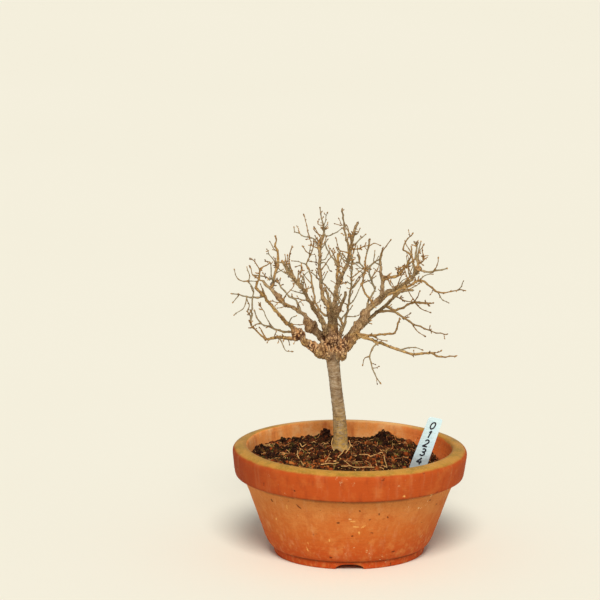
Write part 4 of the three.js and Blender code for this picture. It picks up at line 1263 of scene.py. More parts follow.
@dataclass
class Growth:
    """Grows every stem along its route, with the random numbers of the solid model."""

    off_parent: float = 2.2
    spur_step: float = 35.0
    spur_length: float = 5.2
    spur_radius: float = 0.62
    spur_stem: float = 2.6
    reach: float = 105.0
    draw: Draw = field(default_factory=lambda: Draw(20611))
    stems: dict[str, Stem] = field(default_factory=dict)
    parents: dict[str, str] = field(default_factory=dict)
    spurs: list[Stem] = field(default_factory=list)
    twig_count: int = 0

    def __post_init__(self) -> None:
        """Starts with the trunk alone."""
        self.add("trunk", "", [Vector(p[:3]) for p in TRUNK], [p[3] for p in TRUNK])

    def add(self, name: str, parent: str, points: list[Vector], radii: list[float]) -> None:
        """Keeps a new stem and its parent's name."""
        self.stems[name] = Stem(name, points, radii)
        self.parents[name] = parent

    def limb(self, plan: Limb) -> None:
        """Grows a limb from the nearest spot of its parent.

        Args:
            plan: the limb's route.
        """
        root, off = self.stems[plan.parent].nearest(plan.route[0], plan.route[1])
        flat = [Vector((x, 0, h)) for x, h in zip(plan.route[::2], plan.route[1::2])]
        if off > self.off_parent:
            flat.insert(0, Vector((root.x, 0, root.z + VIEW_SLOPE * root.y)))
        runs = run_lengths(flat)
        points, radii = [], []
        for i, spot in enumerate(flat):
            share = runs[i] / runs[-1]
            wander = 0.0
            if 0 < i < len(flat) - 1:
                wander = self.draw.between(-0.2, 0.2) * (runs[i] - runs[i - 1])
            y = spread((root.y, *plan.depths), share) + wander
            points.append(Vector((spot.x, y, spot.z - VIEW_SLOPE * y)))
            joint = [
                fat for name, x, h, fat in JOINTS
                if name == plan.name and math.hypot(x - spot.x, h - spot.z) < 1
            ]
            radii.append(max([spread(plan.radii, share), *joint]))
        points[0] = root
        self.add(plan.name, plan.parent, points, radii)

    def twig(self, plan: Twig) -> None:
        """Grows a twig as a thin limb with a number for its name.

        Args:
            plan: the twig's route.
        """
        self.twig_count += 1
        root, _ = self.stems[plan.parent].nearest(plan.route[0], plan.route[1])
        radii = (plan.radius, max(TIP_RADIUS, plan.radius * 0.55))
        name = f"twig_{self.twig_count}"
        self.limb(Limb(name, plan.parent, (root.y + plan.away,), radii, plan.route))

    def fan(self, parent: str, count: int, longest: float, radius: float) -> None:
        """Sets twigs round a limb, shorter towards its tip.

        Args:
            parent: the limb's name.
            count: how many twigs.
            longest: the length of the longest.
            radius: the radius at a twig's root.
        """
        stem = self.stems[parent]
        turn = self.draw.turn()
        for k in range(count):
            share = 0.3 + (0.68 * (k + 0.5)) / count
            spot, along, thick = stem.at(stem.runs[-1] * share)
            turn += GOLDEN_TURN + self.draw.between(-0.3, 0.3)
            heading = aside(along, turn, self.draw.between(0.5, 0.9))
            heading.z += 0.35
            heading.normalize()
            length = longest * (1.15 - 0.6 * share) * self.draw.between(0.8, 1.15)
            points, radii = [spot], [min(radius, thick * 0.8)]
            for i in (1, 2, 3):
                heading.x += self.draw.between(-0.35, 0.35)
                heading.y += self.draw.between(-0.35, 0.35)
                heading.z += self.draw.between(-0.1, 0.4)
                heading.normalize()
                points.append(points[-1] + heading * (length / 3))
                radii.append(max(TIP_RADIUS, radii[0] * (1 - 0.16 * i)))
            self.twig_count += 1
            self.add(f"twig_{self.twig_count}", parent, points, radii)

    def set_spurs(self, stem: Stem) -> None:
        """Sets short spurs along a stem, out to its end.

        Args:
            stem: the stem as routed.
        """
        at = self.draw.between(0.5, 1) * self.spur_step
        turn = self.draw.turn()
        while at < stem.runs[-1] - 2:
            spot, along, thick = stem.at(at)
            turn += math.pi + self.draw.between(-0.7, 0.7)
            heading = aside(along, turn, self.draw.between(0.5, 1.0))
            heading.z += 0.25
            heading.normalize()
            tip = spot + heading * (self.spur_length * self.draw.between(0.7, 1.35) + thick)
            if thick < self.spur_stem and abs(tip.x) < self.reach:
                self.spurs.append(Stem("spur", [spot, tip], [self.spur_radius, TIP_RADIUS]))
            at += self.spur_step * self.draw.between(0.7, 1.3)

    def run(self) -> None:
        """Grows the whole tree."""
        for plan in ROUTES:
            if isinstance(plan, Limb):
                self.limb(plan)
            else:
                self.twig(plan)
        for fan in FANS:
            self.fan(*fan)
        for name, stem in self.stems.items():
            if name != "trunk":
                self.set_spurs(stem)
        for plan in EXTRA_TWIGS:
            self.twig(plan)


BURRS = (
    (-22, 2, 189, 6.4, 6.0, 6.0),
    (-15, 0, 196, 6.6, 5.6, 5.4),
    (-5.5, 3, 191, 6.0, 5.6, 5.8),
    (-8, -1, 183, 5.6, 4.6, 4.6),
    (-21, 6, 181.5, 4.4, 4.6, 3.2),
    (-9, 12, 188, 6.2, 5.6, 6.0),
    (-19, 12, 194, 6.0, 5.4, 5.6),
    (-6, 7, 181.5, 3.6, 4.2, 2.8),
)


SLIMNESS = (
    (0.5, 0.68), (0.9, 0.66), (1.5, 0.68), (2.2, 0.73), (3.0, 0.79), (4.0, 0.86), (5.0, 0.91), (6.4, 1.0),
)


def slimmed(thick: float) -> float:
    """Slims a stem that the solid model thickens.

    Args:
        thick: its radius in the solid model.

    Returns:
        The true radius.
    """
    for (low, share), (high, share_high) in zip(SLIMNESS, SLIMNESS[1:]):
        if thick <= high:
            return thick * (share + (share_high - share) * max(0.0, thick - low) / (high - low))
    return thick


@dataclass
class Tree:
    """The zelkova: buried root base, trunk, crown, limbs, twigs, spurs and buds."""

    step: float = 1.0
    voxel: float = 0.615
    thick_from: float = 1.05
    thin_to: float = 1.35
    node_gap: tuple[float, float] = (3.2, 6.4)
    bud_length: tuple[float, float] = (0.9, 1.5)
    bud_share: float = 0.74
    spur_share: float = 0.18
    tuft_share: float = 0.04
    tip_bud_share: float = 0.6
    bare_from: float = 3.4
    widest: float = 101.0
    trunk_skin: float = 0.35
    column_x: float = -13.6
    burr_lumps: int = 7
    knuckle_lumps: int = 5
    crown: Vector = field(default_factory=lambda: Vector((-13, 5, 190)))
    growth: Growth = field(default_factory=Growth)
    draw: Draw = field(default_factory=lambda: Draw(4127))
    stems: list[Stem] = field(default_factory=list)
    tones: dict[str, float] = field(default_factory=dict)
    buds: list[Line] = field(default_factory=list)
    knuckles: list[tuple[Vector, float, float]] = field(default_factory=list)

    def smooth_line(self, stem: Stem) -> Stem:
        """Draws a smooth line through a stem's points.

        Args:
            stem: the stem as routed.

        Returns:
            The same stem with a point each step or so.
        """
        spots, runs = stem.points, stem.runs
        last = len(spots) - 1
        slopes = []
        for i in range(last + 1):
            a, b = max(i - 1, 0), min(i + 1, last)
            slopes.append((spots[b] - spots[a]) / max(1e-6, runs[b] - runs[a]))
        points, radii = [], []
        for i in range(last):
            gap = runs[i + 1] - runs[i]
            count = max(1, round(gap / self.step))
            for k in range(count):
                t = k / count
                rise = t * t * (3 - 2 * t)
                spot = spots[i] * (1 - rise) + spots[i + 1] * rise
                spot += slopes[i] * (gap * t * (1 - t) ** 2) - slopes[i + 1] * (gap * t * t * (1 - t))
                points.append(spot)
                radii.append(stem.radii[i] + (stem.radii[i + 1] - stem.radii[i]) * rise)
        points.append(spots[-1])
        radii.append(stem.radii[-1])
        return Stem(stem.name, points, radii)

    def with_nodes(self, stem: Stem) -> tuple[Stem, list[float]]:
        """Bends a stem a little at each node, swells it there and roughens it between.

        Args:
            stem: the smooth stem.

        Returns:
            The stem, and the distance of each node along it.
        """
        low, high = self.node_gap
        nodes, at = [], self.draw.between(2.0, high)
        while at < stem.runs[-1] - 0.8:
            nodes.append(at)
            at += self.draw.between(low, high) * (1 + 0.12 * stem.at(at)[2])
        kinks, turn = [], self.draw.turn()
        for at in nodes:
            _, along, thick = stem.at(at)
            turn += math.pi + self.draw.between(-0.9, 0.9)
            amount = self.draw.between(0.12, 0.5) + 0.1 * thick
            kinks.append(aside(along, turn, 0) * amount * smooth_share(at, 0, 7))
        places = [0.0, *nodes, stem.runs[-1]]
        offsets = [Vector(), *kinks, Vector()]
        points, radii = [], []
        for spot, thick, run in zip(stem.points, stem.radii, stem.runs):
            i = 0
            while i + 2 < len(places) and places[i + 1] < run:
                i += 1
            share = min(1.0, max(0.0, (run - places[i]) / max(1e-6, places[i + 1] - places[i])))
            near = min(abs(run - places[i]), abs(run - places[i + 1]))
            swell = math.exp(-((near / (0.5 + 0.4 * thick)) ** 2)) * (0.34 if thick < 1.6 else 0.2)
            rough = 0.16 * noise.noise(spot * 0.3) + 0.1 * noise.noise(spot * 1.1)
            points.append(spot + offsets[i].lerp(offsets[i + 1], share))
            radii.append(slimmed(thick) * (0.97 + swell + rough))
        return Stem(stem.name, points, radii), nodes

    def rooted(self, stem: Stem, parent: Stem) -> Stem:
        """Moves a stem's first points so that it starts on its parent's bent line.

        Args:
            stem: the bent stem.
            parent: the finished stem that carries it.

        Returns:
            The stem, thicker at its collar.
        """
        root = min(parent.points, key=lambda spot: (spot - stem.points[0]).length)
        shift = root - stem.points[0]
        points = [spot + shift * (1 - smooth_share(run, 0, 6)) for spot, run in zip(stem.points, stem.runs)]
        collar = [thick * (1 + 0.35 * math.exp(-run / 2.2)) for thick, run in zip(stem.radii, stem.runs)]
        return Stem(stem.name, points, collar)

    def bud(self, base: Vector, heading: Vector, size: float) -> None:
        """Sets one pointed bud.

        Args:
            base: where it sits.
            heading: where it points.
            size: its length.
        """
        shape = ((0.0, 0.26), (0.25, 0.36), (0.55, 0.33), (0.82, 0.2), (1.0, 0.07))
        self.buds.append([(base + heading * (share * size), fat * size) for share, fat in shape])

    def side_spur(self, base: Vector, heading: Vector, length: float, thick: float) -> None:
        """Sets one short crooked spur with a bud at its tip and at its bends.

        Args:
            base: where it starts, inside its stem.
            heading: where it sets out.
            length: how long it is.
            thick: its radius at the start.
        """
        count = max(2, round(length / 1.5))
        line, spot, way = [(base, thick)], base, heading.copy()
        for k in range(1, count + 1):
            sway = Vector([self.draw.between(-0.3, 0.3) for _ in range(3)])
            way = (way + sway + Vector((0, 0, 0.06))).normalized()
            spot = spot + way * (length / count)
            line.append((spot, thick * (1 - 0.3 * k / count) * (1.18 if k % 2 else 0.92)))
            if k < count and self.draw.unit() < 0.55:
                turned = aside(way, self.draw.turn(), 0.8)
                self.bud(spot + turned * 0.2, turned, self.draw.between(0.9, 1.4))
        self.buds.append(line)
        self.bud(spot - way * 0.3, way, self.draw.between(1.3, 1.9))

    def dress(self, stem: Stem, nodes: Sequence[float]) -> None:
        """Sets buds and fine spurs at a stem's nodes, on alternate sides, and a tip.

        Args:
            stem: the finished stem.
            nodes: the distance of each node.
        """
        turn = self.draw.turn()
        for at in nodes:
            spot, along, thick = stem.at(at)
            turn += math.pi + self.draw.between(-0.6, 0.6)
            luck = self.draw.unit()
            if thick > self.bare_from or at < 3:
                continue
            way = aside(along, turn, self.draw.between(0.5, 1.3))
            base = spot + way * (thick * 0.6)
            if luck > 1 - self.tuft_share and thick > 0.6:
                self.tuft(spot, along, thick, 4)
            elif luck < self.spur_share and abs(spot.x) < self.widest:
                self.side_spur(base, way, self.draw.between(1.6, 5.0), min(0.36, thick * 0.55))
            elif luck < self.bud_share:
                self.bud(base, way, self.draw.between(*self.bud_length))
        spot, along, thick = stem.at(stem.runs[-1])
        if self.draw.unit() < self.tip_bud_share:
            self.bud(spot - along * 0.4, along, self.draw.between(1.6, 2.3))
        else:
            knob = [(spot - along * 0.5, thick), (spot, thick * 1.3), (spot + along * 0.7, thick * 0.9)]
            self.buds.append(knob)

    def tuft(self, spot: Vector, along: Vector, thick: float, count: int) -> None:
        """Sets stubby spurs with buds all round one place of a stem.

        Args:
            spot: the place.
            along: the stem's heading there.
            thick: its radius.
            count: how many spurs.
        """
        turn = self.draw.turn()
        for _ in range(count):
            turn += GOLDEN_TURN + self.draw.between(-0.4, 0.4)
            way = aside(along, turn, self.draw.between(0.2, 1.4))
            base = spot + along * self.draw.between(-2.6, 2.6) + way * (thick * 0.4)
            length = self.draw.between(1.2, 3.2) + thick * 0.5
            self.side_spur(base, way, length, self.draw.between(0.4, 0.62))

    def set_clusters(self) -> None:
        """Sets the clusters of spurs that stand out in the photograph."""
        for x, h, count in CLUSTERS:
            offs = [other.nearest(x, h)[1] - min(1.2, 0.4 * max(other.radii)) for other in self.stems]
            stem = self.stems[offs.index(min(offs))]
            place, _ = stem.nearest(x, h)
            i = min(range(len(stem.points)), key=lambda k: (stem.points[k] - place).length)
            _, along, thick = stem.at(stem.runs[i])
            self.tuft(stem.points[i], along, min(thick, 2.5), count)

    def grow(self) -> None:
        """Grows and dresses every stem."""
        self.growth.run()
        ready: dict[str, Stem] = {}
        for name, routed in self.growth.stems.items():
            smooth = self.smooth_line(routed)
            if name == "trunk":
                wider = [thick + self.trunk_skin for thick in smooth.radii]
                ready[name], nodes = Stem(name, smooth.points, wider), []
            else:
                bent, nodes = self.with_nodes(smooth)
                ready[name] = self.rooted(bent, ready[self.growth.parents[name]])
                self.dress(ready[name], nodes)
            self.tones[name] = self.draw.unit()
        self.stems = list(ready.values())
        for name, x, h, fat in JOINTS:
            gnarled = (0.2 if name == "left_low" else 0.08) * fat
            self.knuckles.append((ready[name].nearest(x, h)[0], fat, gnarled))
        self.set_clusters()
        for spur in self.growth.spurs:
            way = (spur.points[1] - spur.points[0]).normalized()
            self.side_spur(spur.points[0], way, spur.runs[-1], 0.38)

    def stretches(self, keep: Callable[[float], bool]) -> list[Line]:
        """Cuts out the stretches of all stems that are as thick as asked.

        Args:
            keep: says of a radius whether to keep it.

        Returns:
            The stretches, with a point to spare at their ends.
        """
        lines = []
        for stem in self.stems:
            fits = [keep(thick) for thick in stem.radii]
            line: Line = []
            for i, spot in enumerate(stem.points):
                if any(fits[max(0, i - 1):i + 2]):
                    line.append((spot, stem.radii[i]))
                elif line:
                    lines.append(line)
                    line = []
            lines.append(line)
        return [line for line in lines if len(line) > 1]

    def marks(self) -> list[tuple[Vector, Vector, Vector, float, float, float]]:
        """Marks all the stems along their length.

        Returns:
            At each point the spot, two headings across, the radius, the run and the tone.
        """
        marks = []
        for stem in self.stems:
            across = aside((stem.points[1] - stem.points[0]).normalized(), 0.0, 0.0)
            for i, spot in enumerate(stem.points):
                after = stem.points[min(i + 1, len(stem.points) - 1)]
                before = stem.points[max(i - 1, 0)]
                along = (after - before).normalized()
                across = (across - along * across.dot(along)).normalized()
                over = along.cross(across)
                marks.append((spot, across, over, stem.radii[i], stem.runs[i], self.tones[stem.name]))
        return marks

    def paint(self, mesh: bpy.types.Mesh) -> list[Vector]:
        """Paints each vertex with what the nearest stem is like there, and its place on the tree.

        Args:
            mesh: a mesh of wood, in metres.

        Returns:
            Each vertex's place in the grain: twice across its stem, and along it.
        """
        marks = self.marks()
        tree = kdtree.KDTree(len(marks))
        for i, mark in enumerate(marks):
            tree.insert(mark[0], i)
        tree.balance()
        grain, girth, tone, shaft, knot = [], [], [], [], []
        for vertex in mesh.vertices:
            spot = vertex.co / MM
            centre, across, over, thick, run, tint = marks[tree.find(spot)[1]]
            off = spot - centre
            grain.append(Vector((off.dot(across), off.dot(over), run + tint * 90)))
            girth.append(thick)
            tone.append(tint)
            away = math.hypot(spot.x + 8 + (spot.z - 90) * 0.075, spot.y - 10)
            upright = max(smooth_share(spot.z, 184, 172), self.column(spot))
            shaft.append(smooth_share(away, 17, 12) * upright)
            knot.append(self.burred(spot, 14.5))
        write_numbers(mesh, "girth", girth)
        write_numbers(mesh, "tone", tone)
        write_numbers(mesh, "shaft", shaft)
        write_numbers(mesh, "knot", knot)
        layer = mesh.attributes.new("grain", "FLOAT_VECTOR", "POINT")
        layer.data.foreach_set("vector", [part for place in grain for part in place])
        return grain

    def column(self, spot: Vector) -> float:
        """Returns how far a spot is on the smooth wood of the trunk that runs up into the crown."""
        seen = spot.z + VIEW_SLOPE * spot.y
        return smooth_share(abs(spot.x - self.column_x), 5.2, 3.4) * smooth_share(seen, 188, 183)

    def burred(self, spot: Vector, crown_size: float) -> float:
        """Works out how burred the wood is at a spot.

        Args:
            spot: the spot in millimetres.
            crown_size: how far the crown's burrs reach.

        Returns:
            1 in the crown, less at the knuckles and 0 on smooth wood.
        """
        share = math.exp(-(((spot - self.crown).length / crown_size) ** 4))
        for centre, fat, gnarled in self.knuckles:
            share = max(share, gnarled * math.exp(-(((spot - centre).length / (1.6 * fat)) ** 4)))
        return min(1.0, share) * (1 - 0.85 * self.column(spot))

    def knobs(self, bm: bmesh.types.BMesh) -> None:
        """Adds the crown's burrs with smaller lumps round them, and the knuckles' lumps.

        Args:
            bm: the thick wood so far.
        """
        spots = []
        for x, y, h, *size in BURRS:
            centre = Vector((x, y, h - VIEW_SLOPE * y))
            spots.append((centre, Vector(size), 3))
            for _ in range(self.burr_lumps):
                way = self.draw.heading()
                fat = self.draw.between(1.2, 2.5)
                place = centre + Vector([a * b * 0.8 for a, b in zip(way, size)])
                tall = fat * self.draw.between(1.6, 3.0)
                spots.append((place, Vector((fat * 0.75, fat * 0.75, tall)), 2))
        for place, fat, _ in self.knuckles:
            for _ in range(self.knuckle_lumps):
                way = self.draw.heading()
                lump = fat * self.draw.between(0.32, 0.5)
                spots.append((place + way * (fat * 0.72), Vector((lump, lump, lump)), 2))
        for centre, size, detail in spots:
            matrix = Matrix.LocRotScale(centre * MM, None, size * MM)
            bmesh.ops.create_icosphere(bm, subdivisions=detail, radius=1.0, matrix=matrix)

    def ridges(self) -> list[Line]:
        """Draws the root ridges at the foot of the trunk.

        Returns:
            Their lines.
        """
        lines = []
        for i in range(6):
            turn = math.tau * (i + 0.35) / 6
            out = Vector((math.cos(turn), math.sin(turn), 0))
            lines.append([
                (Vector((-8, 12.4, 108)) + out * 4.4, 0.9),
                (Vector((-7.8, 12.8, 98)) + out * 5.4, 1.5),
                (Vector((-7.7, 13, 91.5)) + out * 6.7, 2.0),
                (Vector((-7.6, 13, 84)) + out * 6.4, 1.6),
            ])
        return lines

    def relief(self, spot: Vector, grain: Vector) -> tuple[float, float]:
        """Works out how bark stands proud or falls back at a spot.

        Args:
            spot: the spot in millimetres.
            grain: its place in the grain of its stem.

        Returns:
            How far out the bark stands, and how deep in a crevice it is, 0 to 1.
        """
        knot = self.burred(spot, 17.5)
        trunk = smooth_share(spot.z, 182, 174) * smooth_share(abs(spot.x + 11), 14, 11)
        warped = Vector((spot.x, spot.y, spot.z * 0.24)) + noise.noise_vector(spot * 0.24) * 2.2
        near = noise.voronoi(warped * 0.36)[0]
        crease = smooth_share(near[1] - near[0], 0.3, 0.05)
        drawn = Vector((grain.x, grain.y, grain.z * 0.3))
        split = 1 - smooth_share(abs(noise.noise(drawn * 0.5)), 0.0, 0.13)
        pitted = smooth_share(noise.noise(drawn * 1.1 + Vector((5, 2, 8))), 0.2, 0.55)
        cut = max(crease * (0.25 + 0.75 * knot), split * 0.5 * (1 - knot), 0.5 * pitted) * (1 - 0.9 * trunk)
        tall = Vector((spot.x, spot.y, spot.z * (1 - 0.6 * knot)))
        lump = 0.42 * noise.noise(tall * 0.42) + 0.24 * noise.noise(tall * 1.1)
        banded = 0.22 * noise.noise(Vector((spot.x * 0.08, spot.y * 0.08, spot.z * 0.5)))
        rise = lump * (1 - 0.55 * trunk) + banded * trunk + 0.4 * knot - 1.15 * cut
        return rise, min(1.0, cut * 1.15)

    def thick_wood(self, material: bpy.types.Material) -> None:
        """Grows the thick wood together into one skin and carves its bark.

        Args:
            material: the bark.
        """
        lines = self.stretches(lambda thick: thick > self.thick_from) + self.ridges()
        bm = bmesh.new()
        bm.from_mesh(strands("thick_cores", lines, 4))
        self.knobs(bm)
        skin = linked("thick_skin", mesh_of(bm, "thick_skin"))
        remesh = skin.modifiers.new("Remesh", "REMESH")
        remesh.mode = "VOXEL"
        remesh.voxel_size = self.voxel * MM
        even = skin.modifiers.new("Smooth", "SMOOTH")
        even.factor = 0.5
        even.iterations = 2
        mesh = applied(skin, "tree_wood")
        grain = self.paint(mesh)
        normals = [normal.vector.copy() for normal in mesh.vertex_normals]
        # The crevice depth is also painted on the bark as shade.
        hollow_shade = []
        for vertex, normal, place in zip(mesh.vertices, normals, grain):
            rise, cut = self.relief(vertex.co / MM, place)
            vertex.co += normal * (rise * MM)
            hollow_shade.append(cut)
        write_numbers(mesh, "hollow_shade", hollow_shade)
        finished("tree_wood", mesh, material, "tree")

    def build(self) -> None:
        """Builds the tree's pieces."""
        self.grow()
        material = Bark().build()
        self.thick_wood(material)
        twigs = strands("tree_twigs", self.stretches(lambda thick: thick < self.thin_to), 2)
        self.paint(twigs)
        finished("tree_twigs", twigs, material, "tree")
        buds = strands("tree_buds", self.buds, 1)
        self.paint(buds)
        write_numbers(buds, "bud", [1.0] * len(buds.vertices))
        finished("tree_buds", buds, material, "tree")


# Pot


@dataclass
class Pot:
    """Thrown training pot: deep collar under a rounded lip, tapering body, foot ring with arches."""

    turns: int = 288
    longest: float = 5.0
    notch_width: float = 26.0
    notch_height: float = 4.6
    foot_top: float = 6.3
    slant: float = 0.000175
    foot_inner: float = 59.0
    thrown_from: float = 9.0
    profile: tuple[tuple[float, float], ...] = (
        (12, 12.5), (59, 12.5), (64.5, 14.2), (67.4, 17.5), (73.5, 32), (82.4, 57), (87.5, 71.6), (90.2, 83),
        (91.4, 91), (91.9, 94.8), (92.6, 97.4), (94, 98.4), (96.4, 98.2), (100.5, 97.2), (104, 95.8),
        (105.6, 94), (106, 91.4), (104.4, 77), (103.6, 72.4), (102.4, 71.6), (97.5, 71), (96.1, 68.6),
        (91, 57), (82, 32), (76.3, 16), (73.8, 11),
        (71.4, 8.2), (69.2, 7.3), (69, 6.3), (68, 0.7), (67.1, 0), (61.1, 0), (60.5, 0.7), (59.5, 5.5),
        (12.9, 5.5), (12, 6.4),
    )
    inner: tuple[int, ...] = (1, 2, 3, 4, 5, 6, 7, 8, 9, 11)

    def rounded_profile(self) -> list[tuple[float, float]]:
        """Cuts the profile's corners once and divides its long sides.

        Returns:
            The finer profile.
        """
        cut = []
        for i, (r, z) in enumerate(self.profile):
            r2, z2 = self.profile[(i + 1) % len(self.profile)]
            gap = math.hypot(r2 - r, z2 - z)
            share = min(0.25, 1.2 / gap)
            count = max(1, round(gap * (1 - 2 * share) / self.longest))
            for k in range(count + 1):
                t = share + (1 - 2 * share) * k / count
                cut.append((r + (r2 - r) * t, z + (z2 - z) * t))
        return cut

    def inner_radius(self, level: float) -> float:
        """Finds the inner wall, which runs through the profile's inner points.

        Args:
            level: a height in millimetres.

        Returns:
            The wall's radius at that height.
        """
        wall = [self.profile[i] for i in self.inner]
        for (r, z), (r2, z2) in zip(wall, wall[1:]):
            if level <= z2:
                return r + (r2 - r) * max(0.0, level - z) / (z2 - z)
        return wall[-1][0]

    def arch(self, spot: Vector) -> float:
        """Works out how high the foot's arches stand over a spot.

        Args:
            spot: the spot in millimetres.

        Returns:
            The height, 0 between the arches.
        """
        height = 0.0
        for i in range(3):
            turn = -math.pi / 2 + i * math.tau / 3
            aside_by = -spot.x * math.sin(turn) + spot.y * math.cos(turn)
            ahead = spot.x * math.cos(turn) + spot.y * math.sin(turn)
            share = abs(aside_by) / (self.notch_width / 2)
            if ahead > 0 and share < 1:
                height = self.notch_height * (1 - share**2.6) ** 0.6
        return height

    def shape(self) -> bpy.types.Mesh:
        """Turns the profile, lifts the arches and adds the thrower's unevenness.

        Returns:
            The pot's mesh.
        """
        bm = lathed(self.rounded_profile(), self.turns, closed=True)
        for vert in bm.verts:
            spot = vert.co / MM
            reach = math.hypot(spot.x, spot.y)
            if reach > self.foot_inner and spot.z < self.foot_top:
                lift = self.arch(spot)
                spot.z = lift + spot.z * (1 - lift / self.foot_top)
            if spot.z > self.thrown_from:
                thrown = 0.16 * noise.noise(Vector((spot.x * 0.006, spot.y * 0.006, spot.z * 0.5)))
                pressed = 0.3 * noise.noise(spot * 0.022)
                wide = thrown + pressed + 0.4 * smooth_share(spot.z, 60, 98)
                spot.z -= self.slant * spot.x * spot.z
                spot.x += spot.x / reach * wide + 0.6 * smooth_share(spot.z, 60, 98)
                spot.y += spot.y / reach * wide
            vert.co = spot * MM
        return mesh_of(bm, "pot_shell")

    def paint(self, mesh: bpy.types.Mesh) -> None:
        """Paints the inside, the collar, and grime with painted shade in the hollows under the collar and in
        the foot groove.

        Args:
            mesh: the pot's mesh.
        """
        inner, collar, grime_and_shade = [], [], []
        for vertex in mesh.vertices:
            spot = vertex.co / MM
            reach = math.hypot(spot.x, spot.y)
            level = spot.z + self.slant * spot.x * spot.z
            inside = smooth_share(reach, self.inner_radius(level) + 3.2, self.inner_radius(level) + 1.6)
            inside *= smooth_share(spot.z, 9, 11)
            # Painted shade and grime under the collar's overhang and in the foot groove.
            under = math.exp(-(((level - 70.2) / 1.5) ** 2)) * smooth_share(reach, 93, 95)
            groove = math.exp(-(((spot.z - 7.4) / 0.9) ** 2)) * smooth_share(reach, 67, 68)
            inner.append(inside)
            collar.append(smooth_share(level, 71.0, 71.8) * smooth_share(reach, 97, 98.5) * (1 - inside))
            grime_and_shade.append(max(under, groove))
        write_numbers(mesh, "inner", inner)
        write_numbers(mesh, "collar", collar)
        write_numbers(mesh, "grime_and_shade", grime_and_shade)

    def build(self) -> None:
        """Builds the pot's shell."""
        mesh = self.shape()
        self.paint(mesh)
        finished("pot_shell", mesh, Terracotta().build(), "pot")


# Soil


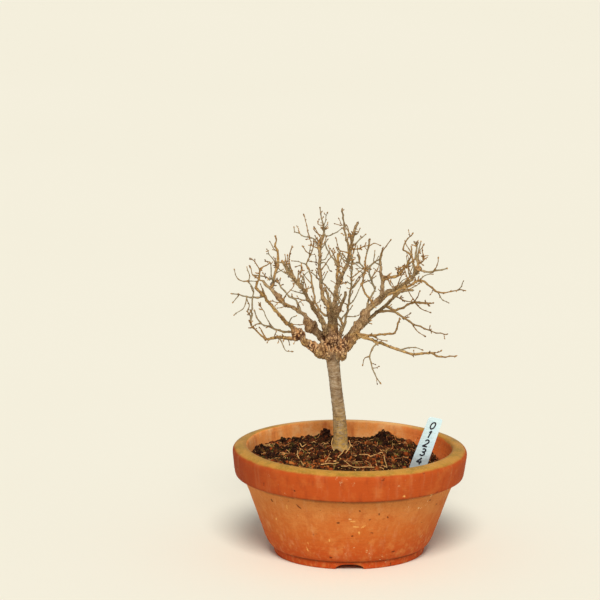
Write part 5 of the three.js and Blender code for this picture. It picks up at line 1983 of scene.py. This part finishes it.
@dataclass
class Soil:
    """The pot's filling: mounded, crumbly soil with fine dry roots, moss and leaf flakes on it."""

    trunk_foot: tuple[float, float] = (-7.7, 13.0)
    turns: int = 300
    ring_gap: float = 0.95
    top_reach: float = 90.1
    top_level: float = 84.0
    crumbs: int = 7000
    clods: int = 520
    short_fibres: int = 950
    long_fibres: int = 150
    moss_blades: int = 900
    flakes: int = 70
    leaf_at: tuple[float, float] = (-36.0, -18.6)
    tilt: float = 4.2
    lowest: float = 76.0
    clumps: tuple[tuple[float, float, float, float], ...] = (
        (-22, 58, 7, 12.5), (32, 66, 9.5, 12.5), (50, 62, 12, 5.5), (-78, 28, 12, 3), (84, 24, 15, -4.5),
    )
    wall: tuple[tuple[float, float], ...] = (
        (0, 12.8), (58.7, 12.8), (64.2, 14.5), (67.1, 17.8), (73.2, 32), (82.1, 57), (87.2, 71.6), (88, 75),
    )
    roots: tuple[tuple[tuple[float, float], ...], ...] = (
        ((-10, 76.4), (-6.8, 78.6), (-3, 78.4), (0.1, 78.6), (3.4, 77.7), (7.2, 77.4), (16, 77.2),
         (22.3, 77.3), (28, 76.7), (31, 75.8)),
        ((-26, 80), (-19.4, 80.2), (-14.4, 80.6), (-9.3, 81.5)),
        ((-3, 97), (-6.8, 90), (-10.6, 87)),
        ((-10.6, 86.9), (-6.8, 84.7), (-3, 81.7), (0.8, 78.7), (3.4, 77.7)),
        ((5.3, 87.3), (9.7, 89.1), (13.5, 88.9), (16.6, 89.1), (19.1, 87.6), (22.9, 88.9), (26.7, 90.2),
         (29.9, 90.6), (31.5, 88.9), (31.8, 86), (32.4, 82.6), (33.4, 80), (33.6, 76.7)),
        ((-22, 81.3), (-20, 83.9), (-18.8, 85.6), (-15.7, 85.6)),
        ((-46.7, 92.5), (-46.7, 87.9), (-44.8, 84.7), (-42.3, 81.3), (-41.3, 79)),
        ((-44.8, 99.7), (-42.3, 96.5), (-39, 99)),
        ((24.2, 80.6), (24.8, 76)),
        ((0.8, 99), (3.4, 96.5)),
    )
    uprights: tuple[tuple[tuple[float, float, float], ...], ...] = (
        ((-13, 0, 1.0), (-15.6, 1.5, 5.0), (-15.8, 3, 9.0), (-14.8, 4.5, 13.0)),
        ((-3.5, 3, 1.0), (-0.2, 4, 4.0), (0.8, 5, 7.0), (0.2, 6.5, 11.0)),
    )
    root_lift: float = 2.1
    stub_at: tuple[float, float] = (-21.0, 12.0)
    twigs: int = 26
    trunk_room: float = 7.5
    fibre_reach: float = 88.5
    low_lumps: int = 34
    pot: Pot = field(default_factory=Pot)
    draw: Draw = field(default_factory=lambda: Draw(9042))
    lumps: list[tuple[float, float, float, float]] = field(default_factory=list)

    def lay_lumps(self) -> None:
        """Lays the low lumps of the solid model, with two clumps at the back a little higher."""
        for _ in range(self.low_lumps):
            turn = self.draw.turn()
            reach = 82 * math.sqrt(self.draw.between(0.04, 1))
            size, rise = self.draw.between(5, 10), self.draw.between(-1.2, 2.6)
            self.lumps.append((reach * math.cos(turn), reach * math.sin(turn), size, rise))
        self.lumps.extend(self.clumps)

    def level(self, x: float, y: float) -> float:
        """Works out how high the filling stands.

        Args:
            x: the place.
            y: the place.

        Returns:
            The filling's height there, before its crumbs.
        """
        away = math.hypot(x - self.trunk_foot[0], y - self.trunk_foot[1])
        level = self.top_level + 6.3 * math.exp(-((away / 40) ** 2)) - self.tilt * (x / 90)
        for at_x, at_y, size, rise in self.lumps:
            off = math.hypot(x - at_x, y - at_y) / size
            if off < 4:
                level += rise * math.exp(-off * off)
        return max(self.lowest, level)

    def surface(self, x: float, y: float) -> float:
        """Works out how high the crumbly surface stands.

        Args:
            x: the place.
            y: the place.

        Returns:
            The surface's height there.
        """
        spot = Vector((x, y, 3.7))
        rough = 1.6 * noise.noise(spot * 0.1) + 1.6 * noise.noise(spot * 0.24)
        rough += 1.3 * noise.noise(spot * 0.55) + 0.6 * noise.noise(spot * 1.3)
        return self.level(x, y) + rough - 0.5

    def body(self, material: bpy.types.Material) -> None:
        """Turns the filling's section and roughens its top.

        Args:
            material: the earth.
        """
        rings = int(self.top_reach / self.ring_gap)
        top = [(self.top_reach - i * self.ring_gap, self.top_level) for i in range(rings)]
        bm = lathed([*self.wall, *top, (0.0, self.top_level)], self.turns, closed=False)
        for vert in bm.verts:
            if vert.co.z > (self.top_level - 1) * MM:
                level = self.surface(vert.co.x / MM, vert.co.y / MM)
                reach = vert.co.xy.length / MM
                inward = min(1.0, (self.pot.inner_radius(level) - 0.4) / max(reach, 1.0))
                vert.co = Vector((vert.co.x * inward, vert.co.y * inward, level * MM))
        mesh = mesh_of(bm, "soil_body")
        tones = [0.35 + 0.5 * noise.noise(vertex.co / MM * 0.35) for vertex in mesh.vertices]
        write_numbers(mesh, "tone", tones)
        finished("soil_body", mesh, material, "soil")

    def place(self, most: float = 88.0) -> tuple[float, float]:
        """Draws a place on the filling that isn't inside the trunk.

        Args:
            most: how far out it may be.

        Returns:
            The place.
        """
        while True:
            turn, reach = self.draw.turn(), most * math.sqrt(self.draw.unit())
            x, y = reach * math.cos(turn), reach * math.sin(turn)
            if math.hypot(x - self.trunk_foot[0], y - self.trunk_foot[1]) > self.trunk_room:
                return x, y

    def scatter(
        self, name: str, count: int, detail: int, sizes: tuple[float, float], material: bpy.types.Material,
    ) -> None:
        """Scatters irregular crumbs.

        Args:
            name: the piece's name.
            count: how many crumbs.
            detail: how finely each is divided.
            sizes: smallest and largest radius.
            material: their finish.
        """
        matrices, tones = [], []
        for _ in range(count):
            fat = sizes[0] + (sizes[1] - sizes[0]) * self.draw.unit() ** 2.2
            x, y = self.place(87.6 - fat)
            scale = Vector([fat * self.draw.between(0.6, 1.3) for _ in range(3)])
            axis = (self.draw.between(-1, 1), self.draw.between(-1, 1), 1)
            turned = Quaternion(axis, self.draw.between(0, 6.28))
            spot = Vector((x, y, self.surface(x, y) + fat * self.draw.between(0.0, 0.6)))
            matrices.append(Matrix.LocRotScale(spot * MM, turned.normalized(), scale * MM))
            tones.append(self.draw.unit() ** 2)
        bm, each = grains(matrices, detail)
        for vert in bm.verts:
            vert.co += noise.noise_vector(vert.co / MM * 0.9) * (0.5 * MM)
        mesh = mesh_of(bm, name)
        write_numbers(mesh, "tone", [tone for tone in tones for _ in range(each)])
        finished(name, mesh, material, "soil")

    def lying(self, x: float, y: float, length: float, thick: float, lift: float, bend: float) -> Line:
        """Draws a thin fibre that lies on the soil.

        Args:
            x: where it starts.
            y: where it starts.
            length: its length.
            thick: its radius.
            lift: how far it arches off the soil.
            bend: how much it winds.

        Returns:
            The fibre's line.
        """
        count = max(4, int(length / 1.4))
        turn = self.draw.turn()
        swing = self.draw.between(-bend, bend)
        phase = self.draw.between(0, 6.28)
        line = []
        for k in range(count + 1):
            share = k / count
            level = self.surface(x, y) + 0.35 + lift * abs(math.sin(phase + share * 4.2))
            line.append((Vector((x, y, level)), thick * (1.1 - 0.5 * share)))
            swing += self.draw.between(-bend, bend)
            turn += swing * 0.35
            x += math.cos(turn) * length / count
            y += math.sin(turn) * length / count
            if math.hypot(x, y) > self.fibre_reach:
                break
        return line

    def seen(self, x: float, h: float) -> Vector:
        """Finds the foremost spot just over the soil that is seen at a place.

        Args:
            x: the place as seen, sideways.
            h: the place as seen, upwards.

        Returns:
            The spot.
        """
        y = -80.0
        while y < 60 and self.surface(x, y) + self.root_lift + VIEW_SLOPE * y < h:
            y += 0.5
        return Vector((x, y, self.surface(x, y) + self.root_lift))

    def traced(self, spots: Sequence[Vector]) -> Line:
        """Draws a root smoothly through spots.

        Args:
            spots: the spots that it passes.

        Returns:
            The root's line.
        """
        routed = Stem("root", spots, [0.58 - 0.18 * i / (len(spots) - 1) for i in range(len(spots))])
        smooth = Tree(step=1.2).smooth_line(routed)
        line = []
        for spot, thick in zip(smooth.points, smooth.radii):
            spot.z = max(spot.z, self.surface(spot.x, spot.y) + 0.9)
            line.append((spot + noise.noise_vector(spot * 0.2) * 0.4, thick))
        return line

    def fibres(self) -> None:
        """Lays dry roots, bits of straw and dead twigs on the soil."""
        lines: list[Line] = []
        tones: list[float] = []
        for _ in range(self.short_fibres):
            x, y = self.place()
            length, thick = self.draw.between(1.5, 6), self.draw.between(0.13, 0.3)
            lines.append(self.lying(x, y, length, thick, 0.8, 0.9))
            tones.append(self.draw.unit())
        for _ in range(self.long_fibres):
            x, y = self.place(84)
            length, thick = self.draw.between(8, 26), self.draw.between(0.16, 0.34)
            lines.append(self.lying(x, y, length, thick, 1.6, 0.6))
            tones.append(self.draw.unit() * 0.7)
        routes = [[self.seen(x, h) for x, h in route] for route in self.roots]
        for route in self.uprights:
            routes.append([Vector((x, y, self.surface(x, y) + lift)) for x, y, lift in route])
        for route in routes:
            lines.append(self.traced(route))
            tones.append(0.1)
        self.dress_lines("soil_fibres", lines, tones, Fibre().build())
        twigs: list[Line] = []
        for _ in range(self.twigs):
            x, y = self.place(80)
            length, thick = self.draw.between(6, 15), self.draw.between(0.5, 0.8)
            twigs.append(self.lying(x, y, length, thick, 0.8, 0.12))
        base = Vector((*self.stub_at, self.surface(*self.stub_at)))
        bend, tip = base + Vector((-2.5, 1, 3.4)), base + Vector((-6.5, 2, 7.2))
        twigs.append([(base, 0.9), (bend, 0.8), (tip, 0.55)])
        self.dress_lines("soil_twigs", twigs, [0.95] * len(twigs), Fibre(name="dead_twig").build())

    def leaf_flakes(self) -> None:
        """Strews thin bits of dead leaf."""
        matrices, tones = [], []
        for k in range(self.flakes):
            x, y = self.place(84) if k else self.leaf_at
            size = self.draw.between(1.0, 1.9) if k else 2.6
            scale = Vector((size, size * self.draw.between(0.5, 0.8), 0.22))
            axis = (self.draw.between(-1, 1), self.draw.between(-1, 1), 0.2)
            tipped = Quaternion(axis, self.draw.between(0.1, 0.7))
            turned = tipped.normalized() @ Quaternion((0, 0, 1), self.draw.between(0, 6.28))
            spot = Vector((x, y, self.surface(x, y) + 1.3))
            matrices.append(Matrix.LocRotScale(spot * MM, turned, scale * MM))
            tones.append(self.draw.between(0.3, 0.75) if k else 0.45)
        bm, each = grains(matrices, 2)
        for vert in bm.verts:
            vert.co.z += noise.noise(vert.co / MM * 0.5) * 0.9 * MM
        mesh = mesh_of(bm, "soil_leaves")
        write_numbers(mesh, "tone", [tone for tone in tones for _ in range(each)])
        finished("soil_leaves", mesh, Fibre(name="dead_leaf").build(), "soil")

    def moss(self) -> None:
        """Sets small tufts of moss."""
        blades: list[Line] = []
        while len(blades) < self.moss_blades:
            x, y = self.place(82)
            for _ in range(int(self.draw.between(6, 18))):
                at_x, at_y = x + self.draw.between(-2.4, 2.4), y + self.draw.between(-2.4, 2.4)
                base = Vector((at_x, at_y, self.surface(at_x, at_y) - 0.2))
                way = Vector((self.draw.between(-0.7, 0.7), self.draw.between(-0.7, 0.7), 1.0)).normalized()
                tip = base + way * self.draw.between(1.0, 2.6)
                blades.append([(base, 0.3), (base.lerp(tip, 0.5) + Vector((0.15, 0, 0)), 0.34), (tip, 0.1)])
        shades = {"pale": srgb(150, 140, 62), "rusty": srgb(112, 110, 44), "brown": srgb(84, 74, 36)}
        green = Fibre(name="moss", **shades)
        self.dress_lines("soil_moss", blades, [self.draw.unit() for _ in blades], green.build())

    def dress_lines(
        self, name: str, lines: list[Line], tones: list[float], material: bpy.types.Material,
    ) -> None:
        """Sweeps thin lines and gives each its own tone.

        Args:
            name: the piece's name.
            lines: the lines.
            tones: a tone from 0 to 1 for each.
            material: their finish.
        """
        mesh = strands(name, lines, 0)
        tree = kdtree.KDTree(sum(len(line) for line in lines))
        owner = []
        for tone, line in zip(tones, lines):
            for spot, _ in line:
                tree.insert(spot, len(owner))
                owner.append(tone)
        tree.balance()
        write_numbers(mesh, "tone", [owner[tree.find(vertex.co / MM)[1]] for vertex in mesh.vertices])
        finished(name, mesh, material, "soil")

    def build(self) -> None:
        """Builds the filling and what lies on it."""
        earth = Earth().build()
        self.lay_lumps()
        self.body(earth)
        self.scatter("soil_clods", self.clods, 2, (1.3, 3.4), earth)
        self.scatter("soil_crumbs", self.crumbs, 1, (0.5, 1.7), earth)
        self.fibres()
        self.leaf_flakes()
        self.moss()


# Label


class Digit(Enum):
    """Strokes of a hand-drawn digit in a box one wide and one high, from its lower left."""

    ZERO = ((
        (0.5, 1.0), (0.16, 0.82), (0.02, 0.5), (0.14, 0.16), (0.46, 0.0), (0.82, 0.16), (0.96, 0.52),
        (0.84, 0.86), (0.5, 1.0),
    ),)
    ONE = (((0.2, 0.76), (0.56, 1.0), (0.52, 0.5), (0.5, 0.0)),)
    TWO = ((
        (0.06, 0.78), (0.36, 1.0), (0.78, 0.92), (0.84, 0.64), (0.46, 0.3), (0.04, 0.02), (0.5, 0.04),
        (0.96, 0.03),
    ),)
    THREE = ((
        (0.1, 0.9), (0.5, 1.0), (0.86, 0.82), (0.74, 0.6), (0.36, 0.52), (0.78, 0.46), (0.92, 0.22),
        (0.56, 0.0), (0.06, 0.1),
    ),)
    FOUR = (
        ((0.6, 1.0), (0.3, 0.62), (0.03, 0.32), (0.5, 0.33), (0.98, 0.34)),
        ((0.72, 0.62), (0.7, 0.3), (0.68, 0.0)),
    )


@dataclass
class Label:
    """Plastic tag with rounded top corners and a pointed end, leaning in the soil."""

    width: float = 15.0
    length: float = 108.0
    point: float = 16.0
    thickness: float = 0.9
    shown: float = 49.0
    lean: float = 19.6
    turn: float = 10.0
    twist: float = 0.4
    at_soil: tuple[float, float, float] = (61.5, -27.0, 84.0)
    digit_size: tuple[float, float] = (4.6, 6.6)
    digit_gap: float = 8.7
    digit_slant: float = 0.2
    digit_left: float = 0.72
    digit_top: float = 4.2
    stroke: float = 0.76
    softened: float = 0.22
    cut_gap: float = 4.5

    def placed(self) -> Matrix:
        """Works out how the tag stands.

        Returns:
            Its turn, lean and place.
        """
        turned = Matrix.Rotation(math.radians(self.turn), 4, "Z")
        leaned = Matrix.Rotation(math.radians(self.lean), 4, "Y")
        return Matrix.Translation(Vector(self.at_soil) * MM) @ leaned @ turned

    def twisted(self, mesh: bpy.types.Mesh) -> None:
        """Twists a flat shape about the tag's length, more towards its top, and puts it in place.

        Args:
            mesh: the flat shape.
        """
        for vertex in mesh.vertices:
            turned = Matrix.Rotation(math.radians(self.twist * max(0.0, vertex.co.z / MM)), 3, "Z")
            vertex.co = turned @ vertex.co
        mesh.transform(self.placed())

    def plate(self) -> bpy.types.Mesh:
        """Cuts the tag and softens its edges.

        Returns:
            The tag's mesh, in place.
        """
        half, top, low = self.width / 2, self.shown, self.shown - self.length
        corner = [(half, top - 2), (half - 0.6, top - 0.6), (half - 2, top)]
        right = [(1.2, low), (half, low + self.point), *corner]
        outline = right + [(-x, z) for x, z in reversed(right)]
        bm = bmesh.new()
        face = bm.faces.new([bm.verts.new((x * MM, -self.thickness / 2 * MM, z * MM)) for x, z in outline])
        made = bmesh.ops.extrude_face_region(bm, geom=[face])
        moved = [item for item in made["geom"] if isinstance(item, bmesh.types.BMVert)]
        bmesh.ops.translate(bm, verts=moved, vec=(0, self.thickness * MM, 0))
        bmesh.ops.recalc_face_normals(bm, faces=bm.faces)
        rims = [edge for edge in bm.edges if edge.calc_face_angle(0.0) > 1.2]
        bmesh.ops.bevel(
            bm, geom=rims, offset=self.softened * MM, offset_type="OFFSET", segments=3, profile=0.5,
            affect="EDGES", material=-1, clamp_overlap=True,
        )
        for cut in range(1, 24):
            plane = Vector((0, 0, (low + cut * self.cut_gap) * MM))
            geom = [*bm.verts, *bm.edges, *bm.faces]
            bmesh.ops.bisect_plane(bm, geom=geom, dist=MERGE, plane_co=plane, plane_no=(0, 0, 1))
        mesh = mesh_of(bm, "label_tag")
        self.twisted(mesh)
        return mesh

    def digits(self) -> bpy.types.Mesh:
        """Draws the digits 0 to 4 down the tag as flat marker strokes.

        Returns:
            The strokes' mesh, in place.
        """
        wide, high = self.digit_size
        lines: list[Line] = []
        for row, digit in enumerate(Digit):
            base = self.shown - self.digit_top - high - row * self.digit_gap
            for stroke in digit.value:
                flat = [(x + self.digit_slant * z - self.digit_left, z) for x, z in stroke]
                spots = [Vector((x * wide, 0, base + z * high)) for x, z in flat]
                routed = Stem("stroke", spots, [self.stroke] * len(spots))
                smooth = Tree(step=0.4).smooth_line(routed)
                lines.append(list(zip(smooth.points, smooth.radii)))
        mesh = strands("label_digits", lines, 2)
        pressed = Matrix.Diagonal((1, 0.1, 1, 1))
        lift = Matrix.Translation((0, -self.thickness / 2 * MM, 0))
        mesh.transform(lift @ pressed)
        self.twisted(mesh)
        return mesh

    def build(self) -> None:
        """Builds the tag and its digits."""
        plastic = Plastic(name="label_plastic")
        tag = finished("label_tag", self.plate(), plastic.build(), "label")
        tag.data.shade_flat()
        black, grey = srgb(30, 32, 44), srgb(52, 52, 62)
        ink = Plastic(name="label_ink", roughness=0.5, base=black, shade=grey, soiled=86.0)
        finished("label_digits", self.digits(), ink.build(), "label")


# Drain net


@dataclass
class DrainNet:
    """Square of moulded plastic net over the drain hole, under the soil."""

    size: float = 36.0
    cells: int = 12
    thickness: float = 1.1
    level: float = 13.4

    def build(self) -> None:
        """Builds the net from a grid turned into struts."""
        bm = bmesh.new()
        lift = Matrix.Translation((0, 0, self.level * MM))
        half = self.size / 2 * MM - self.thickness / 2 * MM
        bmesh.ops.create_grid(bm, x_segments=self.cells, y_segments=self.cells, size=half, matrix=lift)
        bmesh.ops.wireframe(
            bm, faces=bm.faces[:], thickness=self.thickness * MM, offset=0.0,
            use_replace=True, use_boundary=True, use_even_offset=True,
        )
        bmesh.ops.recalc_face_normals(bm, faces=bm.faces)
        black, grey = srgb(38, 42, 46), srgb(58, 60, 60)
        net = Plastic(name="net_plastic", roughness=0.55, base=black, shade=grey, soiled=13.6)
        piece = finished("drain_net", mesh_of(bm, "drain_net"), net.build(), "drain_screen")
        piece.data.shade_flat()


# Studio


@dataclass
class Studio:
    """Wide pale floor, soft light from the front, and the photograph's view."""

    lens: float = 324.2
    away: float = 4750.0
    height: float = 1297.0
    aim_x: float = -44.6
    aim_z: float = 233.0
    floor_size: float = 60000.0

    def floor(self) -> None:
        """Lays the level floor, wide enough for any view."""
        bm = bmesh.new()
        bmesh.ops.create_grid(bm, x_segments=1, y_segments=1, size=self.floor_size / 2 * MM)
        mesh = mesh_of(bm, "floor")
        mesh.materials.append(Backdrop().build())
        linked("floor", mesh)

    def lamp(
        self, name: str, heading: tuple[float, float, float], softness: float, power: float, colour: Colour,
    ) -> None:
        """Sets an even light that comes from one side.

        Args:
            name: its name.
            heading: the side it comes from.
            softness: how wide it looks, in degrees.
            power: its strength.
            colour: its colour.
        """
        data = bpy.data.lights.new(name, "SUN")
        data.angle = math.radians(softness)
        data.energy = power
        data.color = colour[:3]
        lamp = linked(name, data)
        lamp.rotation_euler = (-Vector(heading)).to_track_quat("-Z", "Y").to_euler()

    def camera(self) -> None:
        """Sets the camera at the photograph's viewing angle."""
        data = bpy.data.cameras.new("camera")
        data.lens = self.lens
        data.sensor_width = 36.0
        data.clip_end = 80.0
        made = linked("camera", data)
        made.location = Vector((self.aim_x, -self.away, self.height)) * MM
        drop = math.atan((self.height - self.aim_z) / self.away)
        made.rotation_euler = (math.pi / 2 - drop, 0, 0)
        bpy.context.scene.camera = made

    def build(self) -> None:
        """Sets up the studio."""
        self.camera()
        self.floor()
        self.lamp("key", (0.04, -1.35, 1.45), 24, 2.85, srgb(255, 252, 246))
        world = bpy.data.worlds.new("studio")
        world.use_nodes = True
        sky = world.node_tree.nodes["Background"]
        sky.inputs["Color"].default_value = srgb(253, 254, 253)
        sky.inputs["Strength"].default_value = 0.36
        bpy.context.scene.world = world
        bpy.context.scene.view_settings.view_transform = "Standard"


def main() -> None:
    """Builds the studio and the bonsai, piece by piece."""
    logging.basicConfig(level=logging.INFO, format="%(relativeCreated)6d ms %(message)s")
    noise.seed_set(NOISE_SEED)
    parts = (Studio(), Pot(), Soil(), Label(), DrainNet(), Tree())
    for part in parts:
        part.build()
        LOG.info("%s built", type(part).__name__)


if __name__ == "__main__":
    main()
